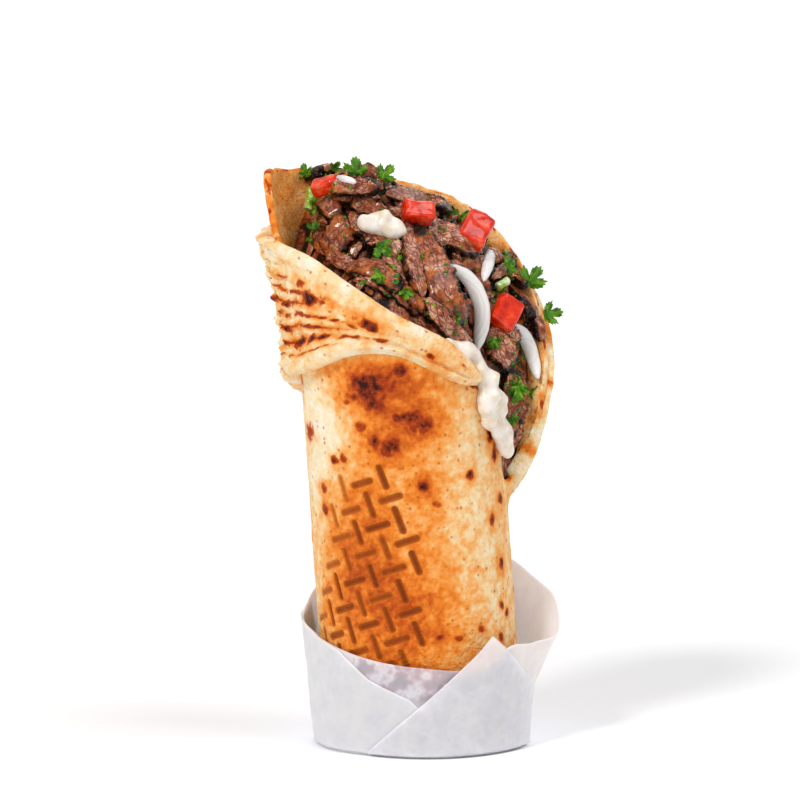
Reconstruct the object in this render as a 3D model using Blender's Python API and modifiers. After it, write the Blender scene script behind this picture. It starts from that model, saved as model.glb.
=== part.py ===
"""A shawarma wrap that stands on end in a folded paper sleeve.

Metres, +Z up. The origin is the middle of the flat foot of the sleeve. The roll of flatbread leans a
little to -X as it rises, and its mouth is cut on a slant that opens to +X and -Y, where the filling shows.
"""

import itertools
import math
import random

import bmesh
import bpy
import numpy as np
from mathutils import Matrix, Vector, noise
from mathutils.bvhtree import BVHTree

# ---- Driving dimensions -------------------------------------------------------------------------

ROLL_RADIUS = 0.0315
BREAD_THICKNESS = 0.0024
ROLL_LEAN = -0.068  # sideways travel of the roll's middle for each metre of height
ROLL_FOOT = 0.0012  # the bread's underside, on the paper
CORNER_RADIUS = 0.005  # of the tucked lower end
GAP = 0.0004  # between pieces that touch

# The roll's rim: angle about the roll in degrees (0 is +X, 90 is +Y), radius, height.
ROLL_RIM = [
    (-6, 0.0330, 0.084),
    (3, 0.0425, 0.099),
    (10, 0.0480, 0.118),
    (18, 0.0490, 0.134),
    (30, 0.0465, 0.152),
    (45, 0.0425, 0.164),
    (66, 0.0385, 0.172),
    (95, 0.0365, 0.176),
    (130, 0.0370, 0.179),
    (165, 0.0385, 0.181),
    (181, 0.0390, 0.180),
    (195, 0.0380, 0.162),
    (220, 0.0375, 0.152),
    (250, 0.0365, 0.144),
    (272, 0.0360, 0.134),
    (300, 0.0345, 0.121),
    (325, 0.0330, 0.112),
    (340, 0.0322, 0.100),
]
# The wall is straight up to this share of its rim's height, plus this much, and flares above.
THROAT_SHARE, THROAT_RISE = 0.45, 0.035
FLARE_REACH = 0.8  # how much of a full S the flare runs through

# The outer lap of bread round the mouth, as its top edge and its bottom edge: angle, radius, height.
LAP_TOP = [
    (-4, 0.0350, 0.087),
    (5, 0.0455, 0.103),
    (12, 0.0505, 0.119),
    (20, 0.0515, 0.133),
    (32, 0.0490, 0.149),
    (50, 0.0445, 0.160),
    (90, 0.0400, 0.168),
    (140, 0.0405, 0.166),
    (182, 0.0420, 0.162),
    (205, 0.0415, 0.1615),
    (230, 0.0410, 0.158),
    (250, 0.0400, 0.150),
    (272, 0.0390, 0.1405),
    (287, 0.0382, 0.1355),
    (298, 0.0377, 0.1315),
    (307, 0.0371, 0.1265),
    (315, 0.0364, 0.1218),
]
LAP_FOOT = [
    (-4, 0.0340, 0.081),
    (30, 0.0380, 0.086),
    (90, 0.0365, 0.098),
    (150, 0.0365, 0.110),
    (182, 0.0368, 0.1185),
    (219, 0.0365, 0.1235),
    (250, 0.0362, 0.130),
    (272, 0.0360, 0.1295),
    (287, 0.0358, 0.1250),
    (298, 0.0357, 0.1215),
    (307, 0.0356, 0.1195),
    (315, 0.0354, 0.1190),
]
LAP_THICKNESS = 0.0036
LAP_BITE = 0.0011  # how far the lap's inner face lies inside the roll's wall where they are baked together
LAP_CROWN = 0.0016  # how far the lap bulges between its two edges
RIDGE_COUNT = 5.5  # baked pleats between the lap's edges
RIDGE_DEPTH = 0.0011
RIDGE_FROM, RIDGE_TO = 140, 265  # degrees between which the pleats are deepest

# Where the filling meets the roll's wall: angle, depth below the rim.
FILLING_DEPTH = [
    (-6, 0.006),
    (10, 0.010),
    (30, 0.006),
    (66, 0.004),
    (100, 0.004),
    (130, 0.006),
    (160, 0.020),
    (181, 0.030),
    (195, 0.016),
    (220, 0.006),
    (272, 0.001),
    (325, 0.003),
    (340, 0.003),
]
FILLING_MIDDLE = Vector((-0.001, 0.003, 0.150))
MOUTH_NORMAL = Vector((0.62, -0.40, 0.68)).normalized()
FILLING_CROWN = 0.010
FILLING_SLACK = 0.0008  # between the filling and the wall of the roll
HUMP_PLACE = Vector((-0.0290, 0.008))
HUMP_HEIGHT, HUMP_SPREAD = 0.0205, 0.0170
HUMP_EDGE = 3.2  # how steeply the heap stands up from the bread
FILLING_FOOT = 0.0046

SERVING_TILT = math.radians(8)  # the pieces on top are laid as seen from -Y and this much above

# Strips of meat on the heap: each runs from one point to another, as (across, up) seen from the serving
# side, and has a width and a thickness.
MEAT_STRIPS = [
    ((-0.0065, 0.1625), (0.0135, 0.1255), 0.0122, 0.0062),
    ((0.0005, 0.1640), (0.0180, 0.1545), 0.0080, 0.0056),
    ((-0.0115, 0.1755), (0.0085, 0.1690), 0.0080, 0.0052),
    ((-0.0320, 0.1775), (-0.0140, 0.1745), 0.0055, 0.0050),
    ((-0.0260, 0.1722), (-0.0130, 0.1700), 0.0044, 0.0050),
    ((-0.0325, 0.1660), (-0.0215, 0.1730), 0.0090, 0.0058),
    ((-0.0335, 0.1555), (-0.0215, 0.1640), 0.0085, 0.0058),
    ((-0.0215, 0.1610), (-0.0105, 0.1560), 0.0064, 0.0054),
    ((-0.0245, 0.1520), (-0.0075, 0.1440), 0.0075, 0.0058),
    ((-0.0060, 0.1450), (0.0080, 0.1290), 0.0070, 0.0050),
    ((0.0180, 0.1300), (0.0290, 0.1200), 0.0085, 0.0056),
    ((0.0312, 0.1480), (0.0368, 0.1340), 0.0056, 0.0046),
    ((0.0275, 0.1145), (0.0280, 0.0900), 0.0060, 0.0050),
    ((0.0120, 0.1690), (0.0230, 0.1560), 0.0060, 0.0050),
    ((0.0208, 0.1420), (0.0215, 0.1330), 0.0040, 0.0044),
    ((0.0290, 0.1290), (0.0330, 0.1140), 0.0050, 0.0044),
    ((0.0225, 0.1180), (0.0255, 0.1010), 0.0050, 0.0044),
    ((0.0080, 0.1540), (0.0150, 0.1400), 0.0055, 0.0044),
    ((-0.0300, 0.1490), (-0.0330, 0.1620), 0.0050, 0.0050),
    ((0.0235, 0.1640), (0.0290, 0.1560), 0.0044, 0.0046),
]
STRIP_AROUND, STRIP_ALONG = 8, 7  # sides round a strip and lengths along it
STRIP_CRAG = 0.0011
STRIP_LIFT = 0.50  # how much of its thickness a strip's middle stands off the core
# What is tried in turn where a strip would cross something: shares of its width, lengths kept (from, to)
# and moves (across, up).
STRIP_WIDTHS = [1.0, 0.8, 0.65]
STRIP_KEEPS = [(0.0, 1.0), (0.0, 0.75), (0.25, 1.0), (0.2, 0.8)]
STRIP_STEP = 0.0018
STRIP_MOVES = [(0, 0), (-1, 0), (1, 0), (0, -1), (0, 1), (-1.4, -1.4), (1.4, -1.4)]  # in steps

# The pieces on the heap, as (across, up) seen from the serving side.
# Diced tomato: place, size across, up and deep, turn in degrees.
TOMATO_DICE = [
    ((-0.0027, 0.1677), (0.0104, 0.0068, 0.0060), 8),
    ((0.0166, 0.1636), (0.0092, 0.0125, 0.0060), -22),
    ((0.0250, 0.1365), (0.0088, 0.0104, 0.0060), -30),
    ((-0.0335, 0.1800), (0.0088, 0.0050, 0.0050), -12),
]
TOMATO_ROUNDING, TOMATO_SINK = 0.0012, 0.0020
# Onion slivers: points on the middle line, each with the width there.
ONION_SLIVERS = [
    [
        ((0.0064, 0.1523), 0.0020),
        ((0.0118, 0.1491), 0.0047),
        ((0.0154, 0.1450), 0.0056),
        ((0.0176, 0.1398), 0.0057),
        ((0.0182, 0.1350), 0.0055),
        ((0.0173, 0.1290), 0.0048),
        ((0.0160, 0.1229), 0.0018),
    ],
    [
        ((0.0212, 0.1580), 0.0020),
        ((0.0206, 0.1542), 0.0038),
        ((0.0196, 0.1504), 0.0038),
        ((0.0184, 0.1462), 0.0020),
    ],
    [
        ((0.0284, 0.1333), 0.0022),
        ((0.0312, 0.1299), 0.0046),
        ((0.0334, 0.1254), 0.0048),
        ((0.0350, 0.1197), 0.0042),
        ((0.0360, 0.1149), 0.0022),
    ],
    [((-0.0285, 0.1797), 0.0014), ((-0.0250, 0.1786), 0.0026), ((-0.0215, 0.1775), 0.0014)],
]
ONION_THICKNESS = 0.0020
# Parsley: where its stalk ends as (across, up) and how far back, length, turn in degrees.
PARSLEY_LEAVES = [
    ((-0.0222, 0.1790), 0.003, 0.0080, 88),
    ((-0.0150, 0.1785), 0.003, 0.0074, 45),
    ((0.0318, 0.1445), 0.012, 0.0095, 55),
    ((0.0368, 0.1355), 0.010, 0.0078, 15),
    ((-0.0080, 0.1500), -0.018, 0.0070, 130),
    ((0.0300, 0.1150), -0.004, 0.0068, 265),
]
PARSLEY_THICKNESS = 0.0006
# A leaf's outline: direction in degrees and reach as a share of its length.
LEAF_OUTLINE = [
    (0, 1.00),
    (12, 0.80),
    (22, 0.84),
    (32, 0.50),
    (46, 0.62),
    (60, 0.80),
    (72, 0.66),
    (86, 0.68),
    (104, 0.34),
    (130, 0.36),
    (158, 0.24),
    (180, 0.20),
]
LEAF_HEART = 0.26  # where the outline's middle lies along the leaf
# Cut spring onion: place, length, radius, turn in degrees.
SCALLION_CUTS = [
    ((-0.0360, 0.1722), 0.0076, 0.0015, 80),
    ((0.0240, 0.1455), 0.0050, 0.0015, 35),
    ((0.0262, 0.1535), 0.0064, 0.0014, 130),
]
# Yoghurt sauce: a dollop on the heap (place, half sizes, turn), and the spill that wells up inside the
# lap's tip and runs over the roll's rim, as angle, stand-off from the rim's radius, height and width.
SAUCE_DOLLOP = ((-0.0135, 0.1640), (0.0076, 0.0038, 0.0030), -14)
DOLLOP_LUMPS, DOLLOP_SEED = 0.16, Vector((4, 1, 7))
SAUCE_SPILL = [
    (299.0, -0.0044, 0.1316, 0.0034),
    (304.0, -0.0043, 0.1304, 0.0046),
    (309.0, -0.0042, 0.1288, 0.0048),
    (313.5, -0.0041, 0.1274, 0.0046),
    (317.3, -0.0036, 0.1256, 0.0046),
    (320.8, -0.0010, 0.1224, 0.0052),
    (322.8, 0.0019, 0.1170, 0.0070),
    (324.0, 0.0019, 0.1118, 0.0096),
    (326.8, 0.0019, 0.1082, 0.0100),
    (329.5, 0.0019, 0.1048, 0.0084),
    (332.5, 0.0019, 0.1018, 0.0060),
    (336.0, 0.0019, 0.0985, 0.0046),
    (338.5, 0.0019, 0.0955, 0.0050),
    (340.0, 0.0019, 0.0930, 0.0028),
]
SAUCE_THICKNESS = 0.0030

# The paper sleeve: foot outline, the level it is creased at, and its top edge: angle, radius, height.
PAPER_FOOT = [
    (0, 0.0335),
    (45, 0.0335),
    (90, 0.0335),
    (135, 0.0335),
    (180, 0.0345),
    (210, 0.0350),
    (237, 0.0335),
    (270, 0.0345),
    (312, 0.0335),
]
PAPER_CREASE = [
    (0, 0.0350, 0.019),
    (45, 0.0345, 0.022),
    (90, 0.0342, 0.022),
    (135, 0.0350, 0.022),
    (180, 0.0370, 0.020),
    (210, 0.0362, 0.016),
    (237, 0.0348, 0.014),
    (270, 0.0350, 0.014),
    (312, 0.0345, 0.016),
    (340, 0.0342, 0.018),
]
PAPER_TOP = [
    (0, 0.0430, 0.0360),
    (10, 0.0425, 0.0440),
    (22, 0.0400, 0.0490),
    (36, 0.0355, 0.0550),
    (60, 0.0345, 0.0540),
    (90, 0.0345, 0.0520),
    (130, 0.0350, 0.0510),
    (160, 0.0370, 0.0480),
    (180, 0.0392, 0.0400),
    (195, 0.0362, 0.0365),
    (216, 0.0350, 0.0335),
    (240, 0.0345, 0.0310),
    (270, 0.0345, 0.0290),
    (300, 0.0345, 0.0285),
    (322, 0.0345, 0.0340),
    (345, 0.0365, 0.0335),
]
PAPER_THICKNESS = 0.0006
PAPER_LAYER = 0.0006  # how far each folded-over layer stands outside the one below it
PANEL_BITE = 0.5  # how deep a folded-over layer is joined to the wall below, in layers
# The two layers folded across the front, as the angles and heights of their outlines.
LEFT_PANEL = [
    (150, 0.001),
    (292, 0.001),
    (262, 0.0190),
    (240, 0.0245),
    (218, 0.0330),
    (196, 0.0365),
    (165, 0.0440),
]
FRONT_FLAP = [(238, 0.001), (345, 0.001), (345, 0.0190), (307, 0.0385)]


# ---- Helpers ------------------------------------------------------------------------------------


def material(name, colour, roughness):
    """A matt or moist food surface."""
    made = bpy.data.materials.new(name)
    made.use_nodes = True
    shader = made.node_tree.nodes["Principled BSDF"]
    shader.inputs["Base Color"].default_value = (*colour, 1.0)
    shader.inputs["Roughness"].default_value = roughness
    shader.inputs["Metallic"].default_value = 0.0
    made.diffuse_color = (*colour, 1.0)
    return made


def smoothstep(value):
    """Eases from 0 to 1 as a value runs from 0 to 1."""
    value = np.clip(value, 0.0, 1.0)
    return value * value * (3 - 2 * value)


def smooth_at(table, angles, closed=False):
    """The values of a table's rows (angle, value, ...) at some angles, on a cubic curve through its rows."""
    rows = np.array(table, float)
    if closed:
        turn = np.zeros(rows.shape[1])
        turn[0] = 360
        rows = np.vstack([rows - turn, rows, rows + turn])
    known, values = rows[:, 0], rows[:, 1:]
    slopes = np.gradient(values, known, axis=0)
    before = np.clip(np.searchsorted(known, angles, side="right") - 1, 0, len(known) - 2)
    step = (known[before + 1] - known[before])[:, None]
    part = (angles - known[before])[:, None] / step
    return (
        (1 + 2 * part) * (1 - part) ** 2 * values[before]
        + part * (1 - part) ** 2 * step * slopes[before]
        + part**2 * (3 - 2 * part) * values[before + 1]
        + part**2 * (part - 1) * step * slopes[before + 1]
    )


def about_roll(angles, radii, heights):
    """Points from angles in degrees, radii and heights about the leaning middle of the roll."""
    turn = np.radians(angles)
    return np.stack(
        [ROLL_LEAN * heights + radii * np.cos(turn), radii * np.sin(turn), heights + 0 * turn],
        axis=-1,
    )


def even_angles(table, first, last, count, closed=False):
    """Angles that space count + 1 columns evenly along an edge."""
    fine = np.linspace(first, last, 1441)
    radii, heights = smooth_at(table, fine, closed).T
    steps = np.linalg.norm(np.diff(about_roll(fine, radii, heights), axis=0), axis=1)
    travel = np.concatenate([[0], np.cumsum(steps)])
    return np.interp(np.linspace(0, travel[-1], count + 1), travel, fine)


def skin(name, points):
    """A mesh object from an array of points [across][along]. Rows that meet are joined."""
    points = np.asarray(points)
    columns, rows = points.shape[0] - 1, points.shape[1] - 1
    body = bmesh.new()
    bmesh.ops.create_grid(body, x_segments=columns, y_segments=rows, size=0.5)
    for vertex in body.verts:
        column = round((vertex.co.x + 0.5) * columns)
        row = round((vertex.co.y + 0.5) * rows)
        vertex.co = Vector(points[column][row])
    bmesh.ops.remove_doubles(body, verts=body.verts, dist=1e-6)
    bmesh.ops.triangulate(body, faces=body.faces)
    mesh = bpy.data.meshes.new(name)
    body.to_mesh(mesh)
    body.free()
    made = bpy.data.objects.new(name, mesh)
    bpy.context.scene.collection.objects.link(made)
    mesh.shade_smooth()
    return made


def placed(name, body, frame):
    """A mesh object from a bmesh, moved into a frame."""
    mesh = bpy.data.meshes.new(name)
    body.to_mesh(mesh)
    body.free()
    mesh.transform(frame)
    made = bpy.data.objects.new(name, mesh)
    bpy.context.scene.collection.objects.link(made)
    return made


def thicken(piece, thickness):
    """Gives an open sheet its thickness, inwards from the face that it has."""
    solid = piece.modifiers.new("thickness", "SOLIDIFY")
    solid.thickness = thickness
    solid.offset = -1


def settled(piece):
    """Applies a piece's modifiers, for a Boolean or a measure."""
    bpy.context.view_layer.update()
    graph = bpy.context.evaluated_depsgraph_get()
    mesh = bpy.data.meshes.new_from_object(piece.evaluated_get(graph))
    piece.modifiers.clear()
    piece.data = mesh
    return piece


def keep_main_body(piece):
    """Fills pockets that a union has sealed and drops loose scraps: only the largest shell stays."""
    body = bmesh.new()
    body.from_mesh(piece.data)
    waiting, shells = set(body.faces), []
    while waiting:
        edge_of_search, shell = [waiting.pop()], []
        while edge_of_search:
            face = edge_of_search.pop()
            shell.append(face)
            near = {other for edge in face.edges for other in edge.link_faces} & waiting
            waiting -= near
            edge_of_search.extend(near)
        shells.append(shell)
    largest = max(shells, key=lambda shell: sum(face.calc_area() for face in shell))
    spare = [face for shell in shells if shell is not largest for face in shell]
    bmesh.ops.delete(body, geom=spare, context="FACES")
    body.to_mesh(piece.data)
    body.free()


def fuse(whole, others, solver="MANIFOLD"):
    """Joins other solids to a first one by one Boolean union, and removes them."""
    settled(whole)
    group = bpy.data.collections.new(whole.name + "_joined")
    bpy.context.scene.collection.children.link(group)
    for other in others:
        settled(other)
        bpy.context.scene.collection.objects.unlink(other)
        group.objects.link(other)
    union = whole.modifiers.new("union", "BOOLEAN")
    union.operation = "UNION"
    union.operand_type = "COLLECTION"
    union.collection = group
    union.solver = solver
    settled(whole)
    for other in others:
        bpy.data.objects.remove(other)
    bpy.data.collections.remove(group)
    keep_main_body(whole)
    whole.data.set_sharp_from_angle(angle=math.radians(50))
    return whole


def finished(piece, finish, group):
    """Names a piece's material and puts it in the object's collection."""
    piece.data.materials.clear()
    piece.data.materials.append(finish)
    bpy.context.scene.collection.objects.unlink(piece)
    group.objects.link(piece)
    return piece


def face_normals(points):
    """Outward directions at each point of a grid of points that closes on itself round the roll."""
    round_it = np.roll(points[:-1], -1, axis=0) - np.roll(points[:-1], 1, axis=0)
    round_it = np.concatenate([round_it, round_it[:1]])
    upward = np.gradient(points, axis=1)
    across = np.cross(round_it, upward)
    return across / np.maximum(np.linalg.norm(across, axis=2, keepdims=True), 1e-12)


# ---- Bread --------------------------------------------------------------------------------------


def roll_columns(count):
    """The rim's angle, radius and height in each column, and the angle at the roll's foot."""
    first = ROLL_RIM[0][0]
    angles = even_angles(ROLL_RIM, first, first + 360, count, closed=True)
    radii, heights = smooth_at(ROLL_RIM, angles, closed=True).T
    return angles, radii, heights, np.linspace(first, first + 360, count + 1)


def flare_at(heights, throat, rim_heights):
    """How far the wall has opened out between its throat (0) and its rim (1)."""
    return smoothstep((heights - throat) / (rim_heights - throat) * FLARE_REACH) / smoothstep(FLARE_REACH)


def roll_wall(columns, shares):
    """Points of the roll's outer face at shares of the height of its rim, for each column."""
    angles, radii, heights, foot_angles = columns
    rows = []
    for share in shares:
        height = share * heights
        throat = THROAT_SHARE * heights + THROAT_RISE
        flare = flare_at(height, throat, heights)
        eased = smoothstep(share)
        turned = foot_angles + (angles - foot_angles) * eased
        rows.append(about_roll(turned, ROLL_RADIUS + (radii - ROLL_RADIUS) * flare, height))
    return np.stack(rows, axis=1)


def tucked_end(columns, inset, foot):
    """Rows of points from the middle of the roll's lower end out to its wall."""
    foot_angles = columns[3]
    radius = ROLL_RADIUS - inset
    rows = [about_roll(foot_angles, 0 * foot_angles, foot + 0 * foot_angles)]
    rows.append(about_roll(foot_angles, 0.5 * radius + 0 * foot_angles, foot + 0 * foot_angles))
    for turn in (0, 45):
        swing = math.radians(turn)
        out = radius - CORNER_RADIUS * (1 - math.sin(swing))
        up = foot + CORNER_RADIUS * (1 - math.cos(swing))
        rows.append(about_roll(foot_angles, out + 0 * foot_angles, up + 0 * foot_angles))
    return np.stack(rows, axis=1)


def make_roll(columns_round=46, rows_up=12):
    """The rolled sheet: a cup with a tucked lower end and a slanting mouth."""
    columns = roll_columns(columns_round)
    start = (ROLL_FOOT + CORNER_RADIUS) / np.min(columns[2])
    wall = roll_wall(columns, np.linspace(start, 1, rows_up))
    roll = skin("flatbread", np.concatenate([tucked_end(columns, 0, ROLL_FOOT), wall], axis=1))
    thicken(roll, BREAD_THICKNESS)
    return roll


def make_lap(columns_round=44, rows_up=10):
    """The outer lap of bread round the mouth, with its baked pleats. It is baked to the roll's wall."""
    angles = even_angles(LAP_TOP, LAP_TOP[0][0], LAP_TOP[-1][0], columns_round)
    top_radii, top_heights = smooth_at(LAP_TOP, angles).T
    foot_radii, foot_heights = smooth_at(LAP_FOOT, angles).T
    rim_radii, rim_heights = smooth_at(ROLL_RIM, angles, closed=True).T
    pleated = smoothstep((angles - RIDGE_FROM) / 30) * smoothstep((RIDGE_TO - angles) / 60)
    outer, inner = [], []
    for share in np.linspace(0, 1, rows_up + 1):
        crown = LAP_CROWN * 4 * share * (1 - share)
        pleat = RIDGE_DEPTH * pleated * math.cos(2 * math.pi * RIDGE_COUNT * share)
        radii = foot_radii + (top_radii - foot_radii) * share + crown + pleat
        heights = foot_heights + (top_heights - foot_heights) * share
        throat = THROAT_SHARE * rim_heights + THROAT_RISE
        flare = flare_at(heights, throat, rim_heights)
        wall = ROLL_RADIUS + (rim_radii - ROLL_RADIUS) * flare - LAP_BITE
        free = radii - LAP_THICKNESS
        bitten = smoothstep((rim_heights + 0.001 - heights) / 0.002)
        inside_wall = np.clip(free, wall - LAP_BITE / 2, wall)
        outer.append(about_roll(angles, radii, heights))
        inner.append(about_roll(angles, free + (inside_wall - free) * bitten, heights))
    rounded = [
        outer[-1] + (inner[-1] - outer[-1]) * 0.5 + np.array([0, 0, LAP_THICKNESS * 0.3]),
        *inner[::-1],
        outer[0] + (inner[0] - outer[0]) * 0.3 - np.array([0, 0, LAP_THICKNESS * 0.25]),
    ]
    around = np.stack(outer + rounded + [outer[0]], axis=1)
    first, last = around[:1].mean(axis=1), around[-1:].mean(axis=1)
    caps = [np.repeat(end[:, None], around.shape[1], axis=1) for end in (first, last)]
    return skin("lap", np.concatenate([caps[0], around, caps[1]], axis=0))


# ---- Filling ------------------------------------------------------------------------------------


def make_core(name, columns_round=46, rows_up=10, rings_over=6):
    """The packed meat inside the roll, up to its bare crown in the mouth."""
    columns = roll_columns(columns_round)
    angles, _, heights, _ = columns
    inset = BREAD_THICKNESS + FILLING_SLACK
    fill = 1 - smooth_at(FILLING_DEPTH, angles, closed=True)[:, 0] / heights
    start = (FILLING_FOOT + CORNER_RADIUS) / np.min(heights)
    rows = []
    for share in np.linspace(0, 1, rows_up + 1):
        rows.append(roll_wall(columns, [start + (fill - start) * share])[:, 0])
    wall = np.stack(rows, axis=1)
    wall = wall - inset * face_normals(wall)
    ring = wall[:, -1]
    middle = np.array(FILLING_MIDDLE)
    over = []
    for share in np.linspace(0, 1, rings_over + 1)[1:]:
        flat = ring + (middle - ring) * share
        off = np.linalg.norm(flat[:, :2] - np.array(HUMP_PLACE), axis=1) / HUMP_SPREAD
        hump = HUMP_HEIGHT * np.exp(-(off**4)) * smoothstep(share * HUMP_EDGE)
        crown = FILLING_CROWN * smoothstep(share * 1.3) ** 0.7
        raised = flat + np.array(MOUTH_NORMAL) * crown
        raised[:, 2] += hump
        over.append(raised)
    end = tucked_end(columns, inset, FILLING_FOOT)
    return skin(name, np.concatenate([end, wall, np.stack(over, axis=1)], axis=1))


def tree_of(piece):
    """A search tree of a piece's faces."""
    return BVHTree.FromPolygons(
        [vertex.co for vertex in piece.data.vertices],
        [tuple(face.vertices) for face in piece.data.polygons],
    )


SERVING_SIDE = Vector((0, -math.cos(SERVING_TILT), math.sin(SERVING_TILT)))
SERVING_UP = Vector((0, math.sin(SERVING_TILT), math.cos(SERVING_TILT)))
SPILL_SIDE = Vector((0.85, -0.53, 0)).normalized()


def landing(ground, across, up):
    """Where something laid from the serving side at (across, up) lands on the filling, and its face there."""
    start = Vector((across, 0, 0)) + SERVING_UP * up + SERVING_SIDE * 0.3
    place, normal, _, _ = ground.ray_cast(start, -SERVING_SIDE)
    if place is None:
        place, normal, _, _ = ground.find_nearest(start - SERVING_SIDE * 0.3)
    return place, normal


def make_strip(name, ground, first, last, width, thickness, seed):
    """A strip of meat that follows the filling's face from one point to another."""
    picked = random.Random(seed)
    places, facings = [], []
    for step in range(STRIP_ALONG + 1):
        share = step / STRIP_ALONG
        across = first[0] + (last[0] - first[0]) * share
        up = first[1] + (last[1] - first[1]) * share
        place, normal = landing(ground, across, up)
        places.append(place)
        facings.append(normal)
    middle = sum(places, Vector()) / len(places)
    facing = (sum(facings, Vector()).normalized() + SERVING_SIDE * 0.9).normalized()
    run = (places[-1] - places[0]).normalized()
    side = facing.cross(run).normalized()
    facing = run.cross(side).normalized()
    length = (places[-1] - places[0]).length
    bow = picked.uniform(-0.15, 0.15) * length
    points = []
    for turn in range(STRIP_AROUND + 1):
        swing = 2 * math.pi * (turn % STRIP_AROUND) / STRIP_AROUND
        column = []
        for step in range(STRIP_ALONG + 1):
            share = step / STRIP_ALONG
            along = (share - 0.5) * length
            level = (places[step] - middle).dot(facing) * 0.6
            swell = math.sqrt(max(0.0, 1 - abs(2 * share - 1) ** 4))
            out = math.cos(swing) * width / 2 * swell
            up = (math.sin(swing) / 2 * swell + STRIP_LIFT) * thickness
            point = middle + run * along + side * (out + bow * (1 - (2 * share - 1) ** 2))
            point = point + facing * (level + up)
            if 0 < share < 1:
                point = point + noise.noise_vector(point * 260 + Vector((seed, 0, 0))) * STRIP_CRAG
            column.append(point)
        points.append(column)
    return skin(name, points)


def fitted_strip(index, row, ground, obstacles):
    """A strip that crosses no obstacle: narrowed, shortened or moved until it fits, or None."""
    first, last, width, thickness = row
    run = [b - a for a, b in zip(first, last)]
    for share, keep, move in itertools.product(STRIP_WIDTHS, STRIP_KEEPS, STRIP_MOVES):
        ends = [
            tuple(a + d * part + STRIP_STEP * m for a, d, m in zip(first, run, move)) for part in keep
        ]
        strip = make_strip(f"strip_{index}", ground, *ends, width * share, thickness, index)
        own = (grown(strip, GAP), tree_of(strip))
        if not any(tree.overlap(obstacle) for obstacle in obstacles for tree in own):
            return strip
        bpy.data.objects.remove(strip)
    return None


def make_heap(core, obstacles):
    """The filling: the packed core and the strips of meat that show on it, fused."""
    ground = tree_of(core)
    strips = [fitted_strip(index, row, ground, obstacles) for index, row in enumerate(MEAT_STRIPS)]
    return fuse(core, [strip for strip in strips if strip])


def clear_of(piece, grounds, away, step=0.0004, most=60):
    """Moves a piece outwards until it touches none of the grounds."""
    for _ in range(most):
        own = tree_of(piece)
        if not any(own.overlap(ground) for ground in grounds):
            break
        piece.data.transform(Matrix.Translation(away * step))
    piece.data.transform(Matrix.Translation(away * GAP))
    return piece


def grown(piece, margin):
    """A search tree of a piece with its faces moved out by a margin."""
    return BVHTree.FromPolygons(
        [vertex.co + vertex.normal * margin for vertex in piece.data.vertices],
        [tuple(face.vertices) for face in piece.data.polygons],
    )


def laid(ground, across, up, spread=0.003):
    """A place on the heap and the way its face looks there, averaged over a spread."""
    offsets = [(0, 0), (spread, 0), (-spread, 0), (0, spread), (0, -spread)]
    hits = [landing(ground, across + right, up + rise) for right, rise in offsets]
    facing = sum((hit[1] for hit in hits), Vector()).normalized()
    facing = (facing + SERVING_SIDE * 0.8).normalized()
    return hits[0][0], facing


def facing_frame(place, facing, turn):
    """A frame at a place that looks out along facing, with its x axis turned up from across."""
    right = Vector((1, 0, 0))
    right = (right - facing * right.dot(facing)).normalized()
    up = facing.cross(right)
    swing = math.radians(turn)
    first = right * math.cos(swing) + up * math.sin(swing)
    second = facing.cross(first)
    frame = Matrix((first, second, facing)).transposed().to_4x4()
    frame.translation = place
    return frame


def make_dice(name, ground, place, size, turn):
    """A dice of tomato."""
    seat, facing = laid(ground, *place)
    frame = facing_frame(seat + facing * (size[2] / 2 - TOMATO_SINK), facing, turn)
    body = bmesh.new()
    bmesh.ops.create_cube(body, size=1.0)
    dice = placed(name, body, frame @ Matrix.Diagonal((*size, 1)))
    rounding = dice.modifiers.new("rounding", "BEVEL")
    rounding.width = TOMATO_ROUNDING
    rounding.segments = 2
    return settled(dice)


def ribbon(name, middles, facings, widths, thickness, sides=8, dish=0.0):
    """A tapering strip along a line of points, each with the way its face looks and its width there."""
    steps = len(middles) - 1
    points = []
    for turn in range(sides + 1):
        swing = 2 * math.pi * (turn % sides) / sides
        column = []
        for index, (middle, facing) in enumerate(zip(middles, facings)):
            run = middles[min(index + 1, steps)] - middles[max(index - 1, 0)]
            side = facing.cross(run).normalized()
            end = math.sqrt(max(0.0, 1 - abs(2 * index / steps - 1) ** 6))
            out = math.cos(swing) * widths[index] / 2
            up = math.sin(swing) * thickness / 2 - dish * thickness * math.cos(swing) ** 2
            column.append(middle + (side * out + facing * up) * end)
        points.append(column)
    return skin(name, points)


def make_sliver(name, ground, stations, steps=12):
    """A sliver of onion that follows the heap through its stations, each a place and a width."""
    knots = np.array([(index, *place, width) for index, (place, width) in enumerate(stations)])
    marks = np.linspace(0, len(stations) - 1, steps + 1)
    across, up, widths = smooth_at(knots, marks).T
    depths = [landing(ground, a, u)[0].dot(SERVING_SIDE) for a, u in zip(across, up)]
    depths = np.polyval(np.polyfit(marks, depths, 2), marks) + ONION_THICKNESS / 2
    middles = [
        Vector((a, 0, 0)) + SERVING_UP * u + SERVING_SIDE * depth
        for a, u, depth in zip(across, up, depths)
    ]
    return ribbon(name, middles, [SERVING_SIDE] * len(middles), widths, ONION_THICKNESS, dish=0.3)


def make_spill(steps=24):
    """The sauce that runs over the rim and down the roll's wall."""
    knots = np.array([(index, *row) for index, row in enumerate(SAUCE_SPILL)])
    marks = np.linspace(0, len(SAUCE_SPILL) - 1, steps + 1)
    angles, stands, heights, widths = smooth_at(knots, marks).T
    radii = smooth_at(ROLL_RIM, angles, closed=True)[:, 0] + stands
    middles = [Vector(point) for point in about_roll(angles, radii, heights)]
    facings = [Vector((math.cos(math.radians(a)), math.sin(math.radians(a)), 0)) for a in angles]
    return ribbon("sauce_spill", middles, facings, widths, SAUCE_THICKNESS)


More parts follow.
